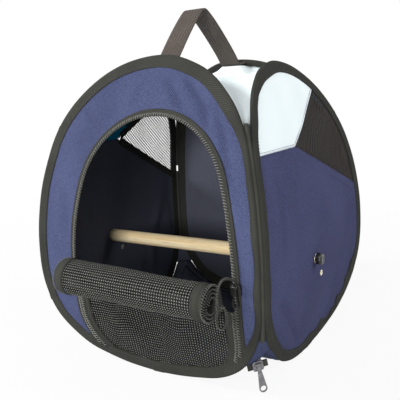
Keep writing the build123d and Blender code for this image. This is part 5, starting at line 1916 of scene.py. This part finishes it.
# ---------------------------------------------------------------- studio
@dataclass
class Studio:
    """Camera, lamps, white floor and backdrop."""
    place: tuple[float, float, float] = (0.33575, -0.54209, 0.27170)
    yaw: float = -0.5679
    pitch: float = -0.1823
    roll: float = -0.0473
    lens: float = 51.745

    def camera(self) -> None:
        """The camera at the photograph's place."""
        ahead = Vector((math.sin(self.yaw) * math.cos(self.pitch), math.cos(self.yaw) * math.cos(self.pitch),
                        math.sin(self.pitch)))
        side = Vector((math.cos(self.yaw), -math.sin(self.yaw), 0.0))
        up = side.cross(ahead)
        right = side * math.cos(self.roll) + up * math.sin(self.roll)
        top = up * math.cos(self.roll) - side * math.sin(self.roll)
        data = bpy.data.cameras.new("camera")
        data.lens, data.sensor_width, data.sensor_fit = self.lens, 36.0, "HORIZONTAL"
        data.clip_start, data.clip_end = 0.01, 50.0
        holder = bpy.data.objects.new("camera", data)
        holder.matrix_world = Matrix((right, top, -ahead)).transposed().to_4x4()
        holder.matrix_world.translation = Vector(self.place)
        bpy.context.scene.collection.objects.link(holder)
        bpy.context.scene.camera = holder

    def lamp(self, name: str, place: Sequence[float], aim: Sequence[float], size: float, power: float,
             hue: Sequence[float] = (1, 1, 1)) -> None:
        """Adds a soft square lamp.

        Args:
            name: its name.
            place: where it hangs.
            aim: the point it faces.
            size: its width.
            power: its power in watts.
            hue: its colour.
        """
        data = bpy.data.lights.new(name, "AREA")
        data.size, data.energy, data.color = size, power, hue
        holder = bpy.data.objects.new(name, data)
        ahead = Vector(aim) - Vector(place)
        holder.matrix_world = Matrix.Translation(place) @ ahead.to_track_quat("-Z", "Y").to_matrix().to_4x4()
        bpy.context.scene.collection.objects.link(holder)

    def backdrop(self) -> None:
        """White world for the camera and for gloss, and a white floor that keeps the shadow."""
        world = bpy.data.worlds.new("studio")
        bpy.context.scene.world = world
        world.use_nodes = True
        tree = world.node_tree
        tree.nodes.clear()
        ray = tree.nodes.new("ShaderNodeLightPath")
        seen = Value(tree, ray.outputs["Is Camera Ray"]) + Value(tree, ray.outputs["Is Glossy Ray"]) + Value(
            tree, ray.outputs["Is Transmission Ray"])
        glow = seen.ramp(0.0, 1.0) * (1.0 - self.ambient) + self.ambient
        sky = add_node(tree, "ShaderNodeBackground", {}, {"Color": (1, 1, 1, 1), "Strength": glow})
        add_node(tree, "ShaderNodeOutputWorld", {}, {"Surface": sky.outputs[0]})
        dye = Dye("studio floor")
        ray = add_node(dye.tree, "ShaderNodeLightPath", {}, {})
        seen = (Value(dye.tree, ray.outputs["Is Camera Ray"]) +
                Value(dye.tree, ray.outputs["Is Glossy Ray"]) +
                Value(dye.tree, ray.outputs["Is Transmission Ray"])).ramp(0.0, 1.0)
        grain = dye.noise(dye.place(), 3.0, 2.0)
        matt = dye.node("ShaderNodeBsdfDiffuse", {}, {"Color": dye.blend(grain, (0.62, 0.62, 0.62, 1),
                                                                       (0.65, 0.65, 0.65, 1))})
        glow = dye.node("ShaderNodeEmission", {}, {"Color": (1, 1, 1, 1), "Strength": 1.0})
        x, y, _ = dye.split(dye.place())
        far = ((x ** 2.0 + y ** 2.0) ** 0.5).ramp(0.30, 0.95)
        both = dye.node("ShaderNodeMixShader", {}, {0: seen * (far * 0.08 + 0.92), 1: matt, 2: glow})
        dye.node_out(both)
        mesh = bpy.data.meshes.new("studio_floor")
        reach = 9.0
        mesh.from_pydata([(-reach, -reach, 0), (reach, -reach, 0), (reach, reach, 0), (-reach, reach, 0)], [],
                         [(0, 1, 2, 3)])
        mesh.transform(Matrix.Translation((0, 0, -0.0006)))
        mesh.materials.append(dye.material)
        floor = bpy.data.objects.new("studio_floor", mesh)
        bpy.context.scene.collection.objects.link(floor)

    ambient: float = 0.25

    def build(self) -> None:
        """Sets up the camera, the lamps and the backdrop."""
        self.camera()
        self.lamp("key", (-1.15, -0.95, 1.15), (0, -0.05, 0.18), 0.4, 35)
        self.lamp("front", (0.28, -1.25, 0.36), (0.0, -0.05, 0.11), 0.3, 12.0)
        self.lamp("fill", (1.35, 0.55, 0.95), (0.05, 0, 0.18), 0.7, 13)
        self.lamp("top", (0.2, 0.3, 1.7), (0, 0, 0.2), 1.4, 3.5)
        self.backdrop()
        bpy.context.scene.view_settings.view_transform = "Standard"


def main() -> None:
    """Builds the carrier and its studio."""
    logging.basicConfig(level=logging.INFO, format="%(name)s %(message)s")
    shop = Workshop()
    Studio().build()
    ClothWalls(shop).build()
    BoundEdges(shop).build()
    FrontDoor(shop).build()
    PerchSet().build()
    RoofAndFloor(shop).build()
    Handle(shop).build()
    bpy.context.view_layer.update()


if __name__ == "__main__":
    main()
